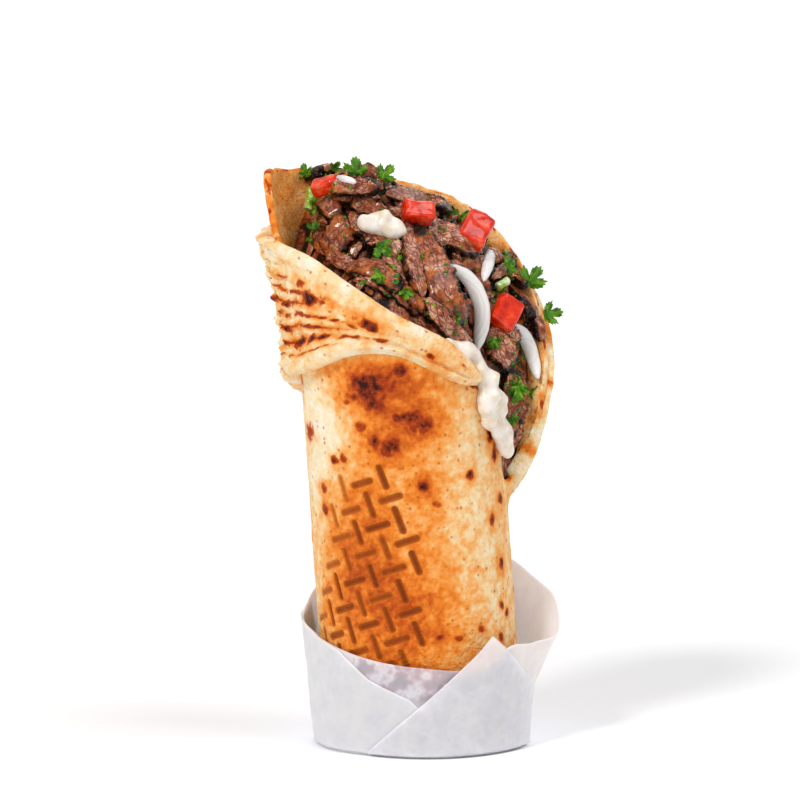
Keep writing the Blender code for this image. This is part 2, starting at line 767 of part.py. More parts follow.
def make_leaf(name, place, back, length, turn):
    """A lobed, wavy leaf of parsley that stands on its stalk's end."""
    seat = Vector((place[0], back, (place[1] - back * math.sin(SERVING_TILT)) / math.cos(SERVING_TILT)))
    frame = facing_frame(seat, (SERVING_SIDE + Vector((0, 0, 0.25))).normalized(), turn)
    half = [math.radians(bearing) for bearing, _ in LEAF_OUTLINE]
    bearings = half + [-bearing for bearing in half[-2:0:-1]]
    reaches = [reach for _, reach in LEAF_OUTLINE] + [reach for _, reach in LEAF_OUTLINE[-2:0:-1]]
    body = bmesh.new()
    middle = body.verts.new((length * LEAF_HEART, 0, 0))
    rows = []
    for share in (0.5, 1):
        row = []
        for bearing, reach in zip(bearings, reaches):
            out = length * (1 - LEAF_HEART) * reach * share
            wave = length * (0.07 * math.sin(3 * bearing + 1) - 0.16) * share**2
            across = out * math.sin(bearing)
            row.append(body.verts.new((length * LEAF_HEART + out * math.cos(bearing), across, wave)))
        rows.append(row)
    inner, outer = rows
    for spoke in range(len(bearings)):
        after = (spoke + 1) % len(bearings)
        body.faces.new((middle, inner[spoke], inner[after]))
        body.faces.new((inner[spoke], outer[spoke], outer[after]))
        body.faces.new((inner[spoke], outer[after], inner[after]))
    leaf = placed(name, body, frame)
    thicken(leaf, PARSLEY_THICKNESS)
    return settled(leaf)


def make_scallion(name, ground, place, length, radius, turn):
    """A short cut of spring onion."""
    seat, facing = laid(ground, *place)
    frame = facing_frame(seat + facing * radius * 0.8, facing, turn)
    body = bmesh.new()
    bmesh.ops.create_cone(
        body, cap_ends=True, segments=12, radius1=radius, radius2=radius * 0.9, depth=length
    )
    return placed(name, body, frame @ Matrix.Rotation(math.radians(90), 4, "Y"))


def make_dollop(ground):
    """The dollop of sauce on the heap."""
    place, size, turn = SAUCE_DOLLOP
    seat, facing = laid(ground, *place)
    frame = facing_frame(seat + facing * size[2] * 0.4, facing, turn)
    body = bmesh.new()
    bmesh.ops.create_icosphere(body, subdivisions=3, radius=1.0)
    for vertex in body.verts:
        vertex.co *= 1 + DOLLOP_LUMPS * noise.noise(vertex.co * 1.7 + DOLLOP_SEED)
    return placed("sauce_dollop", body, frame @ Matrix.Diagonal((*size, 1)))


# ---- Paper --------------------------------------------------------------------------------------


def paper_face(angle, height, layer):
    """A point on the sleeve's outer face at an angle and height, some layers out."""
    at = np.array([angle % 360.0])
    foot = smooth_at(PAPER_FOOT, at, closed=True)[0, 0]
    crease_radius, crease_height = smooth_at(PAPER_CREASE, at, closed=True)[0]
    top_radius, top_height = smooth_at(PAPER_TOP, at, closed=True)[0]
    if height < crease_height:
        radius = foot + (crease_radius - foot) * height / crease_height
    else:
        share = (height - crease_height) / (top_height - crease_height)
        radius = crease_radius + (top_radius - crease_radius) * share
    radius += layer * PAPER_LAYER
    turn = math.radians(angle)
    return Vector((radius * math.cos(turn), radius * math.sin(turn), height))


def make_sleeve(columns_round=44):
    """The cup of paper: a flat foot and a wall up to the top edge."""
    angles = np.linspace(0, 360, columns_round + 1)
    columns = []
    for angle in angles:
        at = np.array([angle % 360.0])
        crease_height = smooth_at(PAPER_CREASE, at, closed=True)[0, 1]
        top_height = smooth_at(PAPER_TOP, at, closed=True)[0, 1]
        foot = paper_face(angle, 0, 0)
        heights = [crease_height * 0.5, crease_height]
        heights += [crease_height + (top_height - crease_height) * share for share in (0.35, 0.7, 1)]
        column = [Vector(), foot * 0.5, foot * 0.985]
        column += [foot + Vector((0, 0, 0.0006))] + [paper_face(angle, level, 0) for level in heights]
        columns.append(column)
    sleeve = skin("paper_wrap", columns)
    thicken(sleeve, PAPER_THICKNESS)
    return sleeve


def make_panel(name, outline, layer, spacing=9):
    """A layer folded over the sleeve's outside, within an outline of angles and heights."""
    first = min(corner[0] for corner in outline)
    last = max(corner[0] for corner in outline)
    columns = []
    for angle in np.linspace(first + 0.5, last - 0.5, round((last - first) / spacing) + 1):
        levels = []
        for (start, low), (end, high) in zip(outline, outline[1:] + outline[:1]):
            if min(start, end) <= angle <= max(start, end) and start != end:
                levels.append(low + (high - low) * (angle - start) / (end - start))
        low, high = min(levels), max(levels)
        high = max(high, low + 0.0004)
        rows = [low + (high - low) * share for share in np.linspace(0, 1, 6)]
        outer = [paper_face(angle, level, layer) for level in rows]
        inner = [paper_face(angle, level, -PANEL_BITE) for level in rows[::-1]]
        columns.append(outer + inner + outer[:1])
    caps = []
    for column in (columns[0], columns[-1]):
        middle = sum(column[:-1], Vector()) / (len(column) - 1)
        caps.append([middle] * len(column))
    return skin(name, [caps[0], *columns, caps[1]])


# ---- The whole wrap -----------------------------------------------------------------------------


def main():
    for item in list(bpy.data.objects):
        bpy.data.objects.remove(item, do_unlink=True)
    wrap = bpy.data.collections.new("shawarma_wrap")
    bpy.context.scene.collection.children.link(wrap)
    bread_finish = material("toasted_flatbread", (0.80, 0.50, 0.24), 0.65)
    meat_finish = material("roast_meat", (0.22, 0.09, 0.05), 0.45)
    tomato_finish = material("ripe_tomato", (0.70, 0.05, 0.03), 0.25)
    onion_finish = material("raw_onion", (0.86, 0.84, 0.78), 0.25)
    leaf_finish = material("parsley_leaf", (0.06, 0.22, 0.03), 0.45)
    scallion_finish = material("spring_onion", (0.35, 0.55, 0.15), 0.30)
    sauce_finish = material("yoghurt_sauce", (0.90, 0.85, 0.72), 0.25)
    paper_finish = material("white_paper", (0.86, 0.85, 0.90), 0.60)

    roll, lap, core = settled(make_roll()), make_lap(), make_core("meat_filling")
    crust = [grown(roll, GAP), grown(lap, GAP)]
    finished(fuse(roll, [lap]), bread_finish, wrap)
    ground, fat_ground = tree_of(core), grown(core, GAP)
    laid_on = []

    def lay(piece, finish, away=SERVING_SIDE):
        """Moves a piece clear of the core, the bread and the pieces laid before it."""
        clear_of(piece, [ground, fat_ground, *crust, *laid_on], away)
        laid_on.extend((grown(piece, GAP), tree_of(piece)))
        finished(piece, finish, wrap)

    for index, row in enumerate(TOMATO_DICE, 1):
        lay(make_dice(f"tomato_{index}", ground, *row), tomato_finish)
    for index, row in enumerate(ONION_SLIVERS, 1):
        lay(make_sliver(f"onion_{index}", ground, row), onion_finish)
    lay(make_dollop(ground), sauce_finish)
    lay(make_spill(), sauce_finish, SPILL_SIDE)
    for index, row in enumerate(SCALLION_CUTS, 1):
        lay(make_scallion(f"scallion_{index}", ground, *row), scallion_finish)
    for index, row in enumerate(PARSLEY_LEAVES, 1):
        lay(make_leaf(f"parsley_{index}", *row), leaf_finish)
    finished(make_heap(core, [*crust, *laid_on]), meat_finish, wrap)

    panels = [make_panel("left_panel", LEFT_PANEL, 1), make_panel("front_flap", FRONT_FLAP, 2)]
    finished(fuse(make_sleeve(), panels), paper_finish, wrap)


main()
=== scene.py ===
"""Looks of the shawarma wrap, built round its packed frame and laid out as a Blender add-on.

Metres, +Z up, in the frame's own place: -Y is the serving side, and the roll leans a little to -X.
"""

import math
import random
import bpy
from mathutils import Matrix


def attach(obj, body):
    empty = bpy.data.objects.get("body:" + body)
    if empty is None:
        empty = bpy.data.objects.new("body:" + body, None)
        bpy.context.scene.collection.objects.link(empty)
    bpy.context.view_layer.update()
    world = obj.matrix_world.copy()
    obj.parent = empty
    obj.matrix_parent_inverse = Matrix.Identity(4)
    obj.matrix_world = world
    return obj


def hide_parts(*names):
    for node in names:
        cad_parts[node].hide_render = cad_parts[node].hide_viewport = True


bl_info = {
    "name": "Shawarma wrap",
    "version": (1, 0, 0),
    "blender": (4, 5, 0),
    "location": "3D View > Sidebar > Wrap",
    "description": "Griddled flatbread rolled round carved meat, salad and yoghurt sauce, in a paper sleeve",
    "category": "Object",
}

import bpy
import numpy as np
from bpy.props import FloatProperty, FloatVectorProperty, IntProperty, PointerProperty
from mathutils import Matrix, Vector, noise
from mathutils.bvhtree import BVHTree

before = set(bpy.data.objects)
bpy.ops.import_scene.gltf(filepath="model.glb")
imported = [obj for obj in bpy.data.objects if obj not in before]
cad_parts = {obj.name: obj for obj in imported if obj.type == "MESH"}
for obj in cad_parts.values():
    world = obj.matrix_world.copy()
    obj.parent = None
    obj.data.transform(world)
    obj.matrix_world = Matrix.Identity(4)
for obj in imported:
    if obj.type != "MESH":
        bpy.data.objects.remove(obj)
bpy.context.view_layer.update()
MM = 0.001
FINE_STEPS = 1441  # places at which a rim of bread is measured to spread columns evenly along it

# ---- Sizes of the wrap, as in its solids --------------------------------------------------------

ROLL_RADIUS = 0.0315
BREAD_THICKNESS = 0.0024
ROLL_LEAN = -0.068  # sideways travel of the roll's middle for each metre of height
ROLL_FOOT = 0.0012  # the height of the roll's lower end
CORNER_RADIUS = 0.005  # of the tucked lower end

# The roll's rim: angle about the roll in degrees (0 is +X, 90 is +Y), radius, height.
ROLL_RIM = [
    (-6, 0.0330, 0.084), (3, 0.0425, 0.099), (10, 0.0480, 0.118), (18, 0.0490, 0.134),
    (30, 0.0465, 0.152), (45, 0.0425, 0.164), (66, 0.0385, 0.172), (95, 0.0365, 0.176),
    (130, 0.0370, 0.179), (165, 0.0385, 0.181), (181, 0.0390, 0.180), (195, 0.0380, 0.162),
    (220, 0.0375, 0.152), (250, 0.0365, 0.144), (272, 0.0360, 0.134), (300, 0.0345, 0.121),
    (325, 0.0330, 0.112), (340, 0.0322, 0.100),
]
THROAT_SHARE, THROAT_RISE = 0.45, 0.035  # the wall is straight up to there, and flares above
FLARE_REACH = 0.8  # how much of an easing curve the flare runs through

# The outer lap of bread round the mouth, as its top edge and its bottom edge: angle, radius, height.
LAP_TOP = [
    (-4, 0.0350, 0.087), (5, 0.0455, 0.103), (12, 0.0505, 0.119), (20, 0.0515, 0.133),
    (32, 0.0490, 0.149), (50, 0.0445, 0.160), (90, 0.0400, 0.168), (140, 0.0405, 0.166),
    (182, 0.0420, 0.162), (205, 0.0415, 0.1615), (230, 0.0410, 0.158), (250, 0.0400, 0.150),
    (272, 0.0390, 0.1405), (287, 0.0382, 0.1355), (298, 0.0377, 0.1315), (307, 0.0371, 0.1265),
    (315, 0.0364, 0.1218),
]
LAP_FOOT = [
    (-4, 0.0340, 0.081), (30, 0.0380, 0.086), (90, 0.0365, 0.098), (150, 0.0365, 0.110),
    (182, 0.0368, 0.1185), (219, 0.0365, 0.1235), (250, 0.0362, 0.130), (272, 0.0360, 0.1295),
    (287, 0.0358, 0.1250), (298, 0.0357, 0.1215), (307, 0.0356, 0.1195), (315, 0.0354, 0.1190),
]
LAP_THICKNESS = 0.0036
LAP_BITE = 0.0011  # how far the lap's inner face reaches into the roll's wall
LAP_CROWN = 0.0016  # how far the lap bulges between its edges
LAP_DRAWN_IN = 0.0036  # how far it draws in instead on the left
RIDGE_COUNT = 5.5  # baked pleats between the lap's edges
RIDGE_DEPTH = 0.0006
HEM_HEIGHT = 0.0011  # how far the lap's lower hem stands proud
RIDGE_FROM, RIDGE_TO = 140, 265  # the angles between which the lap is pleated

# The packed filling: how far below the rim it meets the wall, its crown, and the heap at the back left.
FILLING_DEPTH = [
    (-6, 0.006), (10, 0.010), (30, 0.006), (66, 0.004), (100, 0.004), (130, 0.006), (160, 0.024),
    (181, 0.038), (195, 0.026), (220, 0.006), (272, 0.001), (325, 0.003), (340, 0.003),
]
FILLING_MIDDLE = Vector((-0.001, 0.003, 0.150))
MOUTH_NORMAL = Vector((0.62, -0.40, 0.68)).normalized()
FILLING_CROWN = 0.010
FILLING_SLACK = 0.0008  # the gap between the filling and the bread
HUMP_PLACE = Vector((-0.0262, 0.008))
HUMP_HEIGHT, HUMP_SPREAD, HUMP_EDGE = 0.0155, 0.0170, 3.2
FILLING_FOOT = 0.0046  # the height of the filling's lower end

SERVING_TILT = math.radians(8)  # the wrap is seen from -Y and this much above
SERVING_SIDE = Vector((0, -math.cos(SERVING_TILT), math.sin(SERVING_TILT)))
SERVING_UP = Vector((0, math.sin(SERVING_TILT), math.cos(SERVING_TILT)))
# The two sides that things are laid on the heap from, as what is up there and what looks out.
FROM_FRONT = (SERVING_UP, SERVING_SIDE)
FROM_ABOVE = (Vector((0, 1, 0)), Vector((0, 0, 1)))

# ---- How the bread was baked --------------------------------------------------------------------
# Places on the roll's outer face are (across, height) in millimetres: across is the way round the bread
# from its front, to +X.

# The griddle's basket weave: one bar's middle, the steps to the next bars, and the bars' form.
WEAVE_START, WEAVE_STEP_A, WEAVE_STEP_B = (-14.8, 87.2), (7.2, 2.35), (2.2, -6.8)
WEAVE_ROWS, WEAVE_COLUMNS = range(-9, 17), range(-15, 9)  # steps that are tried each way
WEAVE_SEED = 3
BAR_HALF_LENGTH, BAR_HALF_WIDTH, BAR_DEPTH = 3.5, 1.25, 0.75
BAR_FADE = (0.62, 12)  # how strong the bars are at the weave's left edge, and how far in they are full
WEAVE_FOOT, WEAVE_TOP, WEAVE_RIGHT = 20, 91.5, 2.6
# The weave's left edge slants: a height, the place across there, the slant, the furthest it goes.
WEAVE_LEFT = (77, -27.5, 0.42, -43)
# Its right edge slants at the top: a height, the place across there, the slant, where the slant starts.
WEAVE_TOP_RIGHT = (90, -6.0, 0.75, 79)

# Scorched patches: across, height, half width, half height, turn in degrees, strength.
SCORCHES = [
    (-8.6, 118.2, 6.8, 4.4, 24, 1.00), (-9.6, 113.4, 5.0, 3.0, -25, 0.80),
    (0.3, 124.0, 2.0, 2.2, 0, 0.85), (-1.8, 108.6, 1.7, 1.5, 0, 0.75), (2.6, 109.2, 3.2, 2.2, 20, 0.90),
    (7.0, 106.3, 3.4, 2.4, 30, 0.88), (3.6, 105.0, 1.8, 1.4, 0, 0.70), (-9.4, 100.8, 2.4, 2.2, 0, 0.92),
    (-4.6, 99.6, 3.2, 2.3, 20, 0.92), (-5.6, 97.2, 2.0, 1.3, 0, 0.80), (-13.7, 105.5, 1.9, 1.4, 0, 0.62),
    (-24.6, 93.9, 1.5, 1.3, 0, 0.72), (-21.0, 94.7, 1.4, 1.4, 0, 0.66), (-38.5, 101.0, 3.2, 3.0, 0, 0.55),
    (-44.0, 118.0, 3.4, 1.6, 70, 0.50), (5.3, 86.8, 2.1, 1.8, 20, 0.88), (9.0, 80.9, 1.3, 1.1, 0, 0.45),
    (21.9, 89.4, 1.4, 1.5, 0, 0.92), (31.6, 101.5, 1.2, 3.6, 12, 0.88), (34.2, 94.8, 1.3, 2.6, 8, 0.92),
    (37.6, 79.9, 1.5, 1.6, 0, 0.85), (31.0, 73.9, 1.3, 1.7, 0, 0.90), (34.9, 59.6, 1.2, 1.7, 0, 1.00),
    (33.3, 46.3, 1.0, 1.2, 0, 0.75), (36.6, 43.6, 0.9, 1.1, 0, 0.75), (31.4, 36.0, 1.0, 1.3, 0, 0.80),
    (-31.3, 84.2, 1.7, 1.5, 0, 0.72), (-31.6, 77.2, 1.6, 1.4, 0, 0.85), (-17.6, 113.0, 1.5, 1.0, 0, 0.55),
    (7.4, 38.5, 1.8, 0.9, 15, 0.80), (13.5, 37.6, 1.2, 0.9, 0, 0.60), (22.0, 40.0, 1.4, 1.2, 0, 0.55),
]
# Toasted areas: across, height, half width, half height, strength. The wide, shallow areas at heights 124
# and 120 darken the bread just below the lap's lower edge, partly toast and partly painted shade of the lap.
TOASTED = [
    (-6, 117, 14, 9, 0.36), (4, 107, 12, 8, 0.30), (-8, 99, 11, 8, 0.28), (-14, 84, 13, 10, 0.30),
    (-16, 66, 15, 14, 0.50), (-12, 46, 17, 16, 0.56), (-10, 30, 18, 8, 0.32), (-46, 172, 10, 16, 0.36),
    (7, 90, 10, 12, 0.20), (8, 70, 10, 14, 0.14), (8, 44, 13, 16, 0.26), (-34, 42, 9, 16, 0.20),
    (-22, 124, 22, 4, 0.22), (12, 120, 14, 5, 0.20), (-31, 104, 12, 14, -0.24), (-36, 84, 6, 18, -0.12),
    (42, 70, 10, 50, 0.08),
]
BREAD_BASE_TOAST = 0.27  # how toasted the bread is all over, from 0 to 1
HIDDEN_TOASTS, HIDDEN_SCORCHES, HIDDEN_SEED = 16, 44, 5  # on the side away from the serving side

# Char along the lap's pleats: share of the way from foot to top edge, thickness as a share, first and
# last angle, strength.
LAP_CHAR = [
    (0.150, 0.013, 182, 258, 0.45), (0.240, 0.026, 182, 268, 1.00), (0.350, 0.024, 182, 258, 0.90),
    (0.460, 0.020, 182, 262, 0.72), (0.570, 0.024, 180, 238, 0.92), (0.680, 0.018, 180, 244, 0.62),
    (0.790, 0.020, 180, 226, 0.78), (0.880, 0.014, 180, 208, 0.60),
]
# Scorched spots on the lap: angle, share, half width in millimetres, half height as a share, strength.
LAP_SPOTS = [
    (231, 0.635, 3.4, 0.060, 1.00), (225.5, 0.760, 1.9, 0.034, 0.70), (257, 0.520, 3.0, 0.100, 0.98),
    (249, 0.420, 2.0, 0.045, 0.62), (263, 0.270, 2.0, 0.055, 0.62), (286, 0.330, 1.1, 0.095, 0.75),
    (303, 0.550, 1.0, 0.070, 0.45),
]

# ---- What lies in the mouth ---------------------------------------------------------------------
# Places are (across, up) in millimetres, as seen from the serving side.

# Strips of meat: places along the strip, width, thickness, lift off the heap, char at its two ends.
MEAT_STRIPS = [
    ([(-6.2, 165.6), (-4.6, 152.0), (-0.8, 141.0)], 6.0, 5.6, 2.6, (0.9, 0.3)),
    ([(-3.6, 164.8), (0.8, 153.4), (6.3, 141.5), (11.6, 131.6)], 12.4, 5.4, 3.2, (1.2, 0.6)),
    ([(0.2, 141.0), (6.2, 132.8), (14.4, 125.4)], 6.4, 5.0, 2.6, (0.2, 1.0)),
    ([(0.3, 161.2), (8.2, 160.0), (17.0, 156.6)], 10.0, 5.4, 1.4, (0.3, 0.9)),
    ([(-12.6, 174.2), (-2.5, 172.6), (8.4, 169.2)], 6.6, 4.6, 1.0, (0.2, 1.0)),
    ([(-33.2, 176.9), (-24.0, 175.8), (-13.4, 177.0)], 4.9, 4.6, 1.6, (1.0, 0.3)),
    ([(-31.4, 173.4), (-24.0, 172.9), (-14.0, 172.8)], 4.4, 4.4, 1.0, (0.6, 0.3)),
    ([(-24.5, 171.2), (-18.3, 170.2), (-9.8, 166.6)], 5.6, 4.8, 1.6, (0.6, 0.3)),
    ([(-24.2, 168.0), (-27.4, 161.0), (-31.4, 154.6)], 9.4, 5.6, 1.6, (0.7, 0.3)),
    ([(-33.0, 173.6), (-30.2, 170.2), (-27.4, 165.6)], 7.0, 5.0, 0.6, (0.3, 0.4)),
    ([(-19.6, 163.8), (-13.3, 158.6), (-7.6, 153.4)], 9.0, 5.4, 0.8, (0.5, 0.2)),
    ([(-23.2, 168.2), (-22.6, 164.8), (-19.6, 161.0)], 4.2, 4.8, 2.6, (0.4, 0.4)),
    ([(-24.4, 150.2), (-16.4, 149.4), (-7.4, 143.2)], 8.2, 5.2, 1.2, (0.3, 0.6)),
    ([(-31.0, 156.5), (-26.5, 153.0), (-21.0, 151.2)], 5.6, 4.8, 0.4, (0.4, 0.4)),
    ([(-14.0, 154.6), (-8.0, 149.0), (-3.0, 142.4)], 5.0, 4.6, 0.2, (0.4, 0.6)),
    ([(21.0, 147.4), (24.7, 150.4), (28.6, 153.2)], 4.8, 4.6, 0.8, (0.4, 0.6)),
    ([(25.0, 149.2), (29.1, 148.0), (32.8, 144.6)], 4.2, 4.6, 1.8, (0.3, 1.0)),
    ([(27.0, 145.4), (31.4, 140.0), (35.4, 134.6)], 7.0, 4.6, 0.6, (0.3, 0.9)),
    ([(34.6, 135.4), (36.2, 131.8), (36.8, 127.4)], 4.2, 4.0, 0.4, (0.6, 0.4)),
    ([(19.4, 131.0), (23.4, 125.6), (27.6, 119.0)], 9.4, 5.2, 0.8, (0.3, 0.9)),
    ([(24.6, 133.2), (27.4, 130.0), (29.8, 127.4)], 4.4, 4.2, 0.8, (0.3, 0.3)),
    ([(27.4, 119.6), (26.2, 109.0), (27.6, 94.4)], 5.6, 4.4, 0.8, (0.8, 1.0)),
    ([(29.6, 118.6), (30.6, 110.0), (30.2, 101.0)], 4.2, 4.0, 0.2, (0.8, 0.8)),
    ([(8.2, 153.4), (12.6, 147.6), (15.6, 140.6)], 5.0, 4.4, 0.2, (0.4, 0.4)),
    ([(8.0, 167.6), (14.0, 164.0), (19.0, 159.0)], 4.6, 4.2, 0.0, (0.5, 0.5)),
    ([(20.6, 141.2), (21.4, 136.6), (22.0, 131.8)], 4.0, 4.0, 0.2, (0.4, 0.4)),
    ([(20.8, 156.6), (22.8, 154.0), (24.6, 151.6)], 4.4, 4.0, 0.4, (0.2, 0.2)),
    ([(-27.5, 180.6), (-20.0, 181.2), (-12.0, 179.4)], 5.6, 4.4, -0.6, (0.3, 0.6)),
    ([(-8.4, 144.6), (-2.6, 140.0), (2.6, 134.8)], 5.2, 4.2, -0.2, (0.5, 0.5)),
    ([(-34.0, 164.0), (-32.6, 158.6), (-30.0, 153.6)], 4.6, 4.4, -0.2, (0.8, 0.8)),
    ([(3.0, 134.4), (9.0, 129.0), (15.0, 122.6)], 5.0, 4.2, -0.8, (0.4, 0.6)),
    ([(-22.0, 148.2), (-15.0, 145.0), (-9.0, 141.6)], 4.6, 4.0, -0.8, (0.5, 0.5)),
    ([(-30.0, 176.0), (-23.0, 176.2), (-14.6, 176.2)], 6.0, 5.4, 8.6, (0.3, 0.3)),
    ([(-38.4, 180.2), (-33.8, 181.8), (-28.4, 182.4)], 4.8, 4.4, 0.4, (0.5, 0.1)),
]
STRIP_SIDES, STRIP_STEPS = 30, 70  # faces round a strip and along it
STRIP_LEAN = 22  # degrees that a strip may lean to either side
STRIP_SEEDS = 9  # how many noises each strip has of its own
SCRAP_COUNT, CROWN_SCRAPS, SCRAP_SEED = 64, 66, 11
SCRAP_SIDES, SCRAP_STEPS, SCRAP_FIRST_SEED = 12, 14, 900
SCRAP_TURN = (-2.2, 0.4)  # which way a scrap lies, from, to, in radians
SCRAP_SINK, SCRAP_FLATNESS = (-1.5, -0.3), 0.62  # lift off the heap, and thickness as a share of width
SCRAP_DROP = 0.009  # a scrap that would hang further over an edge of the heap than this is left out
CROWN_MIDDLE, CROWN_REACH = (-6, 0), (31, 27)  # of the heap as seen from above, in millimetres
SCRAP_LENGTH, SCRAP_WIDTH = (6.0, 12.0), (2.2, 4.4)  # from, to, in millimetres
MOUTH_OUTLINE = [
    (-35, 177), (-31, 154), (-24, 146.5), (-14, 141), (-3, 136), (8, 127), (16, 119), (24, 110), (26, 94),
    (31, 97), (33, 115), (37, 128), (34, 143), (28, 154), (20, 162), (9, 171), (-12, 177.5),
]
# Parsley leaves: where the stalk ends as (across, up) and how far back, length, turn in degrees. All in
# millimetres. Each leaf stands for the CAD node that it names.
PARSLEY_LEAVES = [
    ("parsley_1", (-22.2, 179.0), 3.0, 8.0, 88),
    ("parsley_2", (-15.0, 178.5), 3.0, 7.4, 45),
    ("parsley_3", (31.8, 144.5), 12.0, 9.5, 55),
    ("parsley_4", (36.8, 135.5), 10.0, 7.8, 15),
    ("parsley_5", (-8.0, 150.0), -18.0, 7.0, 130),
    ("parsley_6", (30.0, 115.0), -4.0, 6.8, 265),
]
LEAF_HEART = 0.26  # share of a leaf's length that is below the middle of its lobes
# A leaf's outline, the same to both sides: bearing from its tip in degrees, reach as a share.
LEAF_LOBES = [
    (0, 1.00), (4, 0.90), (7, 0.84), (11, 0.92), (15, 0.82), (18, 0.74), (22, 0.80), (26, 0.62),
    (30, 0.42), (34, 0.38), (38, 0.52), (43, 0.70), (47, 0.64), (52, 0.88), (57, 0.74), (60, 0.70),
    (65, 0.80), (70, 0.64), (76, 0.70), (82, 0.52), (88, 0.50), (96, 0.34), (108, 0.38), (118, 0.26),
    (150, 0.20), (180, 0.16),
]
LEAF_THICKNESS = 0.00035
HERB_COUNT, HERB_SEED = 150, 23  # flakes of chopped parsley spread evenly over the mouth
HERB_SIZE = (0.30, 0.95)  # half the length of a flake, from, to, in millimetres
HERB_LIFT, LEAF_LIFT = 0.00012, 0.0007  # how far off the heap a flake and a torn leaf lie
HERB_STRAY = 0.004  # a flake that lands further than this to one side is left out
# Where more of them lie together: across, up, spread, how many.
HERB_KNOTS = [
    (-35.5, 169.0, 2.4, 8), (-36.0, 160.5, 2.0, 7), (-37.0, 176.5, 2.4, 8), (-10.0, 149.0, 4.0, 9),
    (-18.0, 149.5, 3.0, 6), (14.0, 172.0, 3.0, 8), (27.0, 150.5, 3.0, 9), (24.0, 143.0, 2.2, 6),
    (22.5, 126.0, 3.0, 8), (29.0, 121.0, 2.6, 8), (30.0, 113.0, 2.8, 14), (28.0, 103.0, 2.0, 10),
    (31.5, 126.0, 2.2, 8), (-30.0, 178.5, 3.6, 8), (2.0, 171.0, 5.0, 6), (11.0, 134.0, 2.6, 6),
]
# Torn leaves on the heap: across and up of the stalk's end, length, turn in degrees.
TORN_LEAVES = [
    (-15.5, 158.0, 7.5, -42), (-5.6, 144.0, 5.0, 262), (-35.2, 161.5, 4.6, 80), (29.2, 113.5, 6.4, 250),
    (32.6, 112.0, 4.8, -20), (24.5, 150.0, 6.0, 40), (5.0, 167.5, 6.2, 15), (11.0, 168.0, 5.0, -30),
    (22.8, 128.5, 4.6, 230), (-31.0, 176.5, 5.6, 20), (-36.5, 171.0, 4.4, 60), (-13.0, 147.5, 4.6, 190),
    (26.5, 104.0, 5.0, 255), (-37.0, 179.5, 5.6, 110), (-29.5, 181.6, 4.6, 60),
]
SAUCE_SWELL = {"sauce_dollop": 0.1, "sauce_spill": 1.5}  # how much fuller than its solid, in millimetres

# ---- The paper sleeve ---------------------------------------------------------------------------

# The paper sleeve: foot outline, the level it is creased at, and its top edge: angle, radius, height.
PAPER_FOOT = [
    (0, 0.0335), (45, 0.0335), (90, 0.0335), (135, 0.0335), (180, 0.0345), (210, 0.0350), (237, 0.0335),
    (270, 0.0345), (312, 0.0335),
]
PAPER_CREASE = [
    (0, 0.0350, 0.019), (45, 0.0345, 0.022), (90, 0.0342, 0.022), (135, 0.0350, 0.022),
    (180, 0.0370, 0.020), (210, 0.0362, 0.016), (237, 0.0348, 0.014), (270, 0.0350, 0.014),
    (312, 0.0345, 0.016), (340, 0.0342, 0.018),
]
PAPER_TOP = [
    (0, 0.0430, 0.0360), (10, 0.0425, 0.0440), (22, 0.0400, 0.0490), (36, 0.0355, 0.0550),
    (60, 0.0345, 0.0540), (90, 0.0345, 0.0520), (130, 0.0350, 0.0510), (160, 0.0370, 0.0480),
    (180, 0.0392, 0.0400), (195, 0.0362, 0.0365), (216, 0.0350, 0.0335), (240, 0.0345, 0.0310),
    (270, 0.0345, 0.0290), (300, 0.0345, 0.0285), (322, 0.0345, 0.0340), (345, 0.0365, 0.0335),
]
PAPER_THICKNESS = 0.0002
PAPER_LAYER = 0.0006  # how far out each layer lies over the last
CRUMPLE = 0.42  # how strongly the paper is dented and creased
SLEEVE_ROWS = 46
STAIN_SIDES, STAIN_FROM = (222, 316), 0.014  # the angles and the height where bread shows through
PANEL_STAIN = 0.22  # how much of the stain colours the flap on top takes, which makes it greyer
# The two layers folded across the front, as the angles and heights of their top and bottom corners.
LEFT_PANEL = [
    (150, 0.001), (292, 0.001), (262, 0.0190), (240, 0.0245), (218, 0.0330), (196, 0.0365), (165, 0.0440),
]
FRONT_FLAP = [(238, 0.001), (345, 0.001), (345, 0.0190), (307, 0.0385)]

# ---- The stage ----------------------------------------------------------------------------------

VIEW_WIDTH = 0.256  # how much the camera takes in at the wrap
VIEW_CENTRE = (-0.008, 0.1088)  # across and up, from the middle of the foot
LENS = 400  # a long lens, in millimetres
FLOOR_SIZE = 12.0


# ---- Helpers ------------------------------------------------------------------------------------


def srgb(text):
    """A linear colour from an sRGB hex value such as #F6D9B0."""
    parts = [int(text[place : place + 2], 16) / 255 for place in (1, 3, 5)]
    return tuple(p / 12.92 if p <= 0.04045 else ((p + 0.055) / 1.055) ** 2.4 for p in parts)


def smoothstep(value):
    """Eases from 0 to 1 as a value runs from 0 to 1."""
    value = np.clip(value, 0.0, 1.0)
    return value * value * (3 - 2 * value)


def smooth_at(table, angles, closed=False):
    """The values of a table's rows (angle, value, ...) at some angles, on a cubic curve through its rows."""
    rows = np.array(table, float)
    if closed:
        turn = np.zeros(rows.shape[1])
        turn[0] = 360
        rows = np.vstack([rows - turn, rows, rows + turn])
    known, values = rows[:, 0], rows[:, 1:]
    slopes = np.gradient(values, known, axis=0)
    before = np.clip(np.searchsorted(known, angles, side="right") - 1, 0, len(known) - 2)
    step = (known[before + 1] - known[before])[:, None]
    part = (angles - known[before])[:, None] / step
    return (
        (1 + 2 * part) * (1 - part) ** 2 * values[before]
        + part * (1 - part) ** 2 * step * slopes[before]
        + part**2 * (3 - 2 * part) * values[before + 1]
        + part**2 * (part - 1) * step * slopes[before + 1]
    )


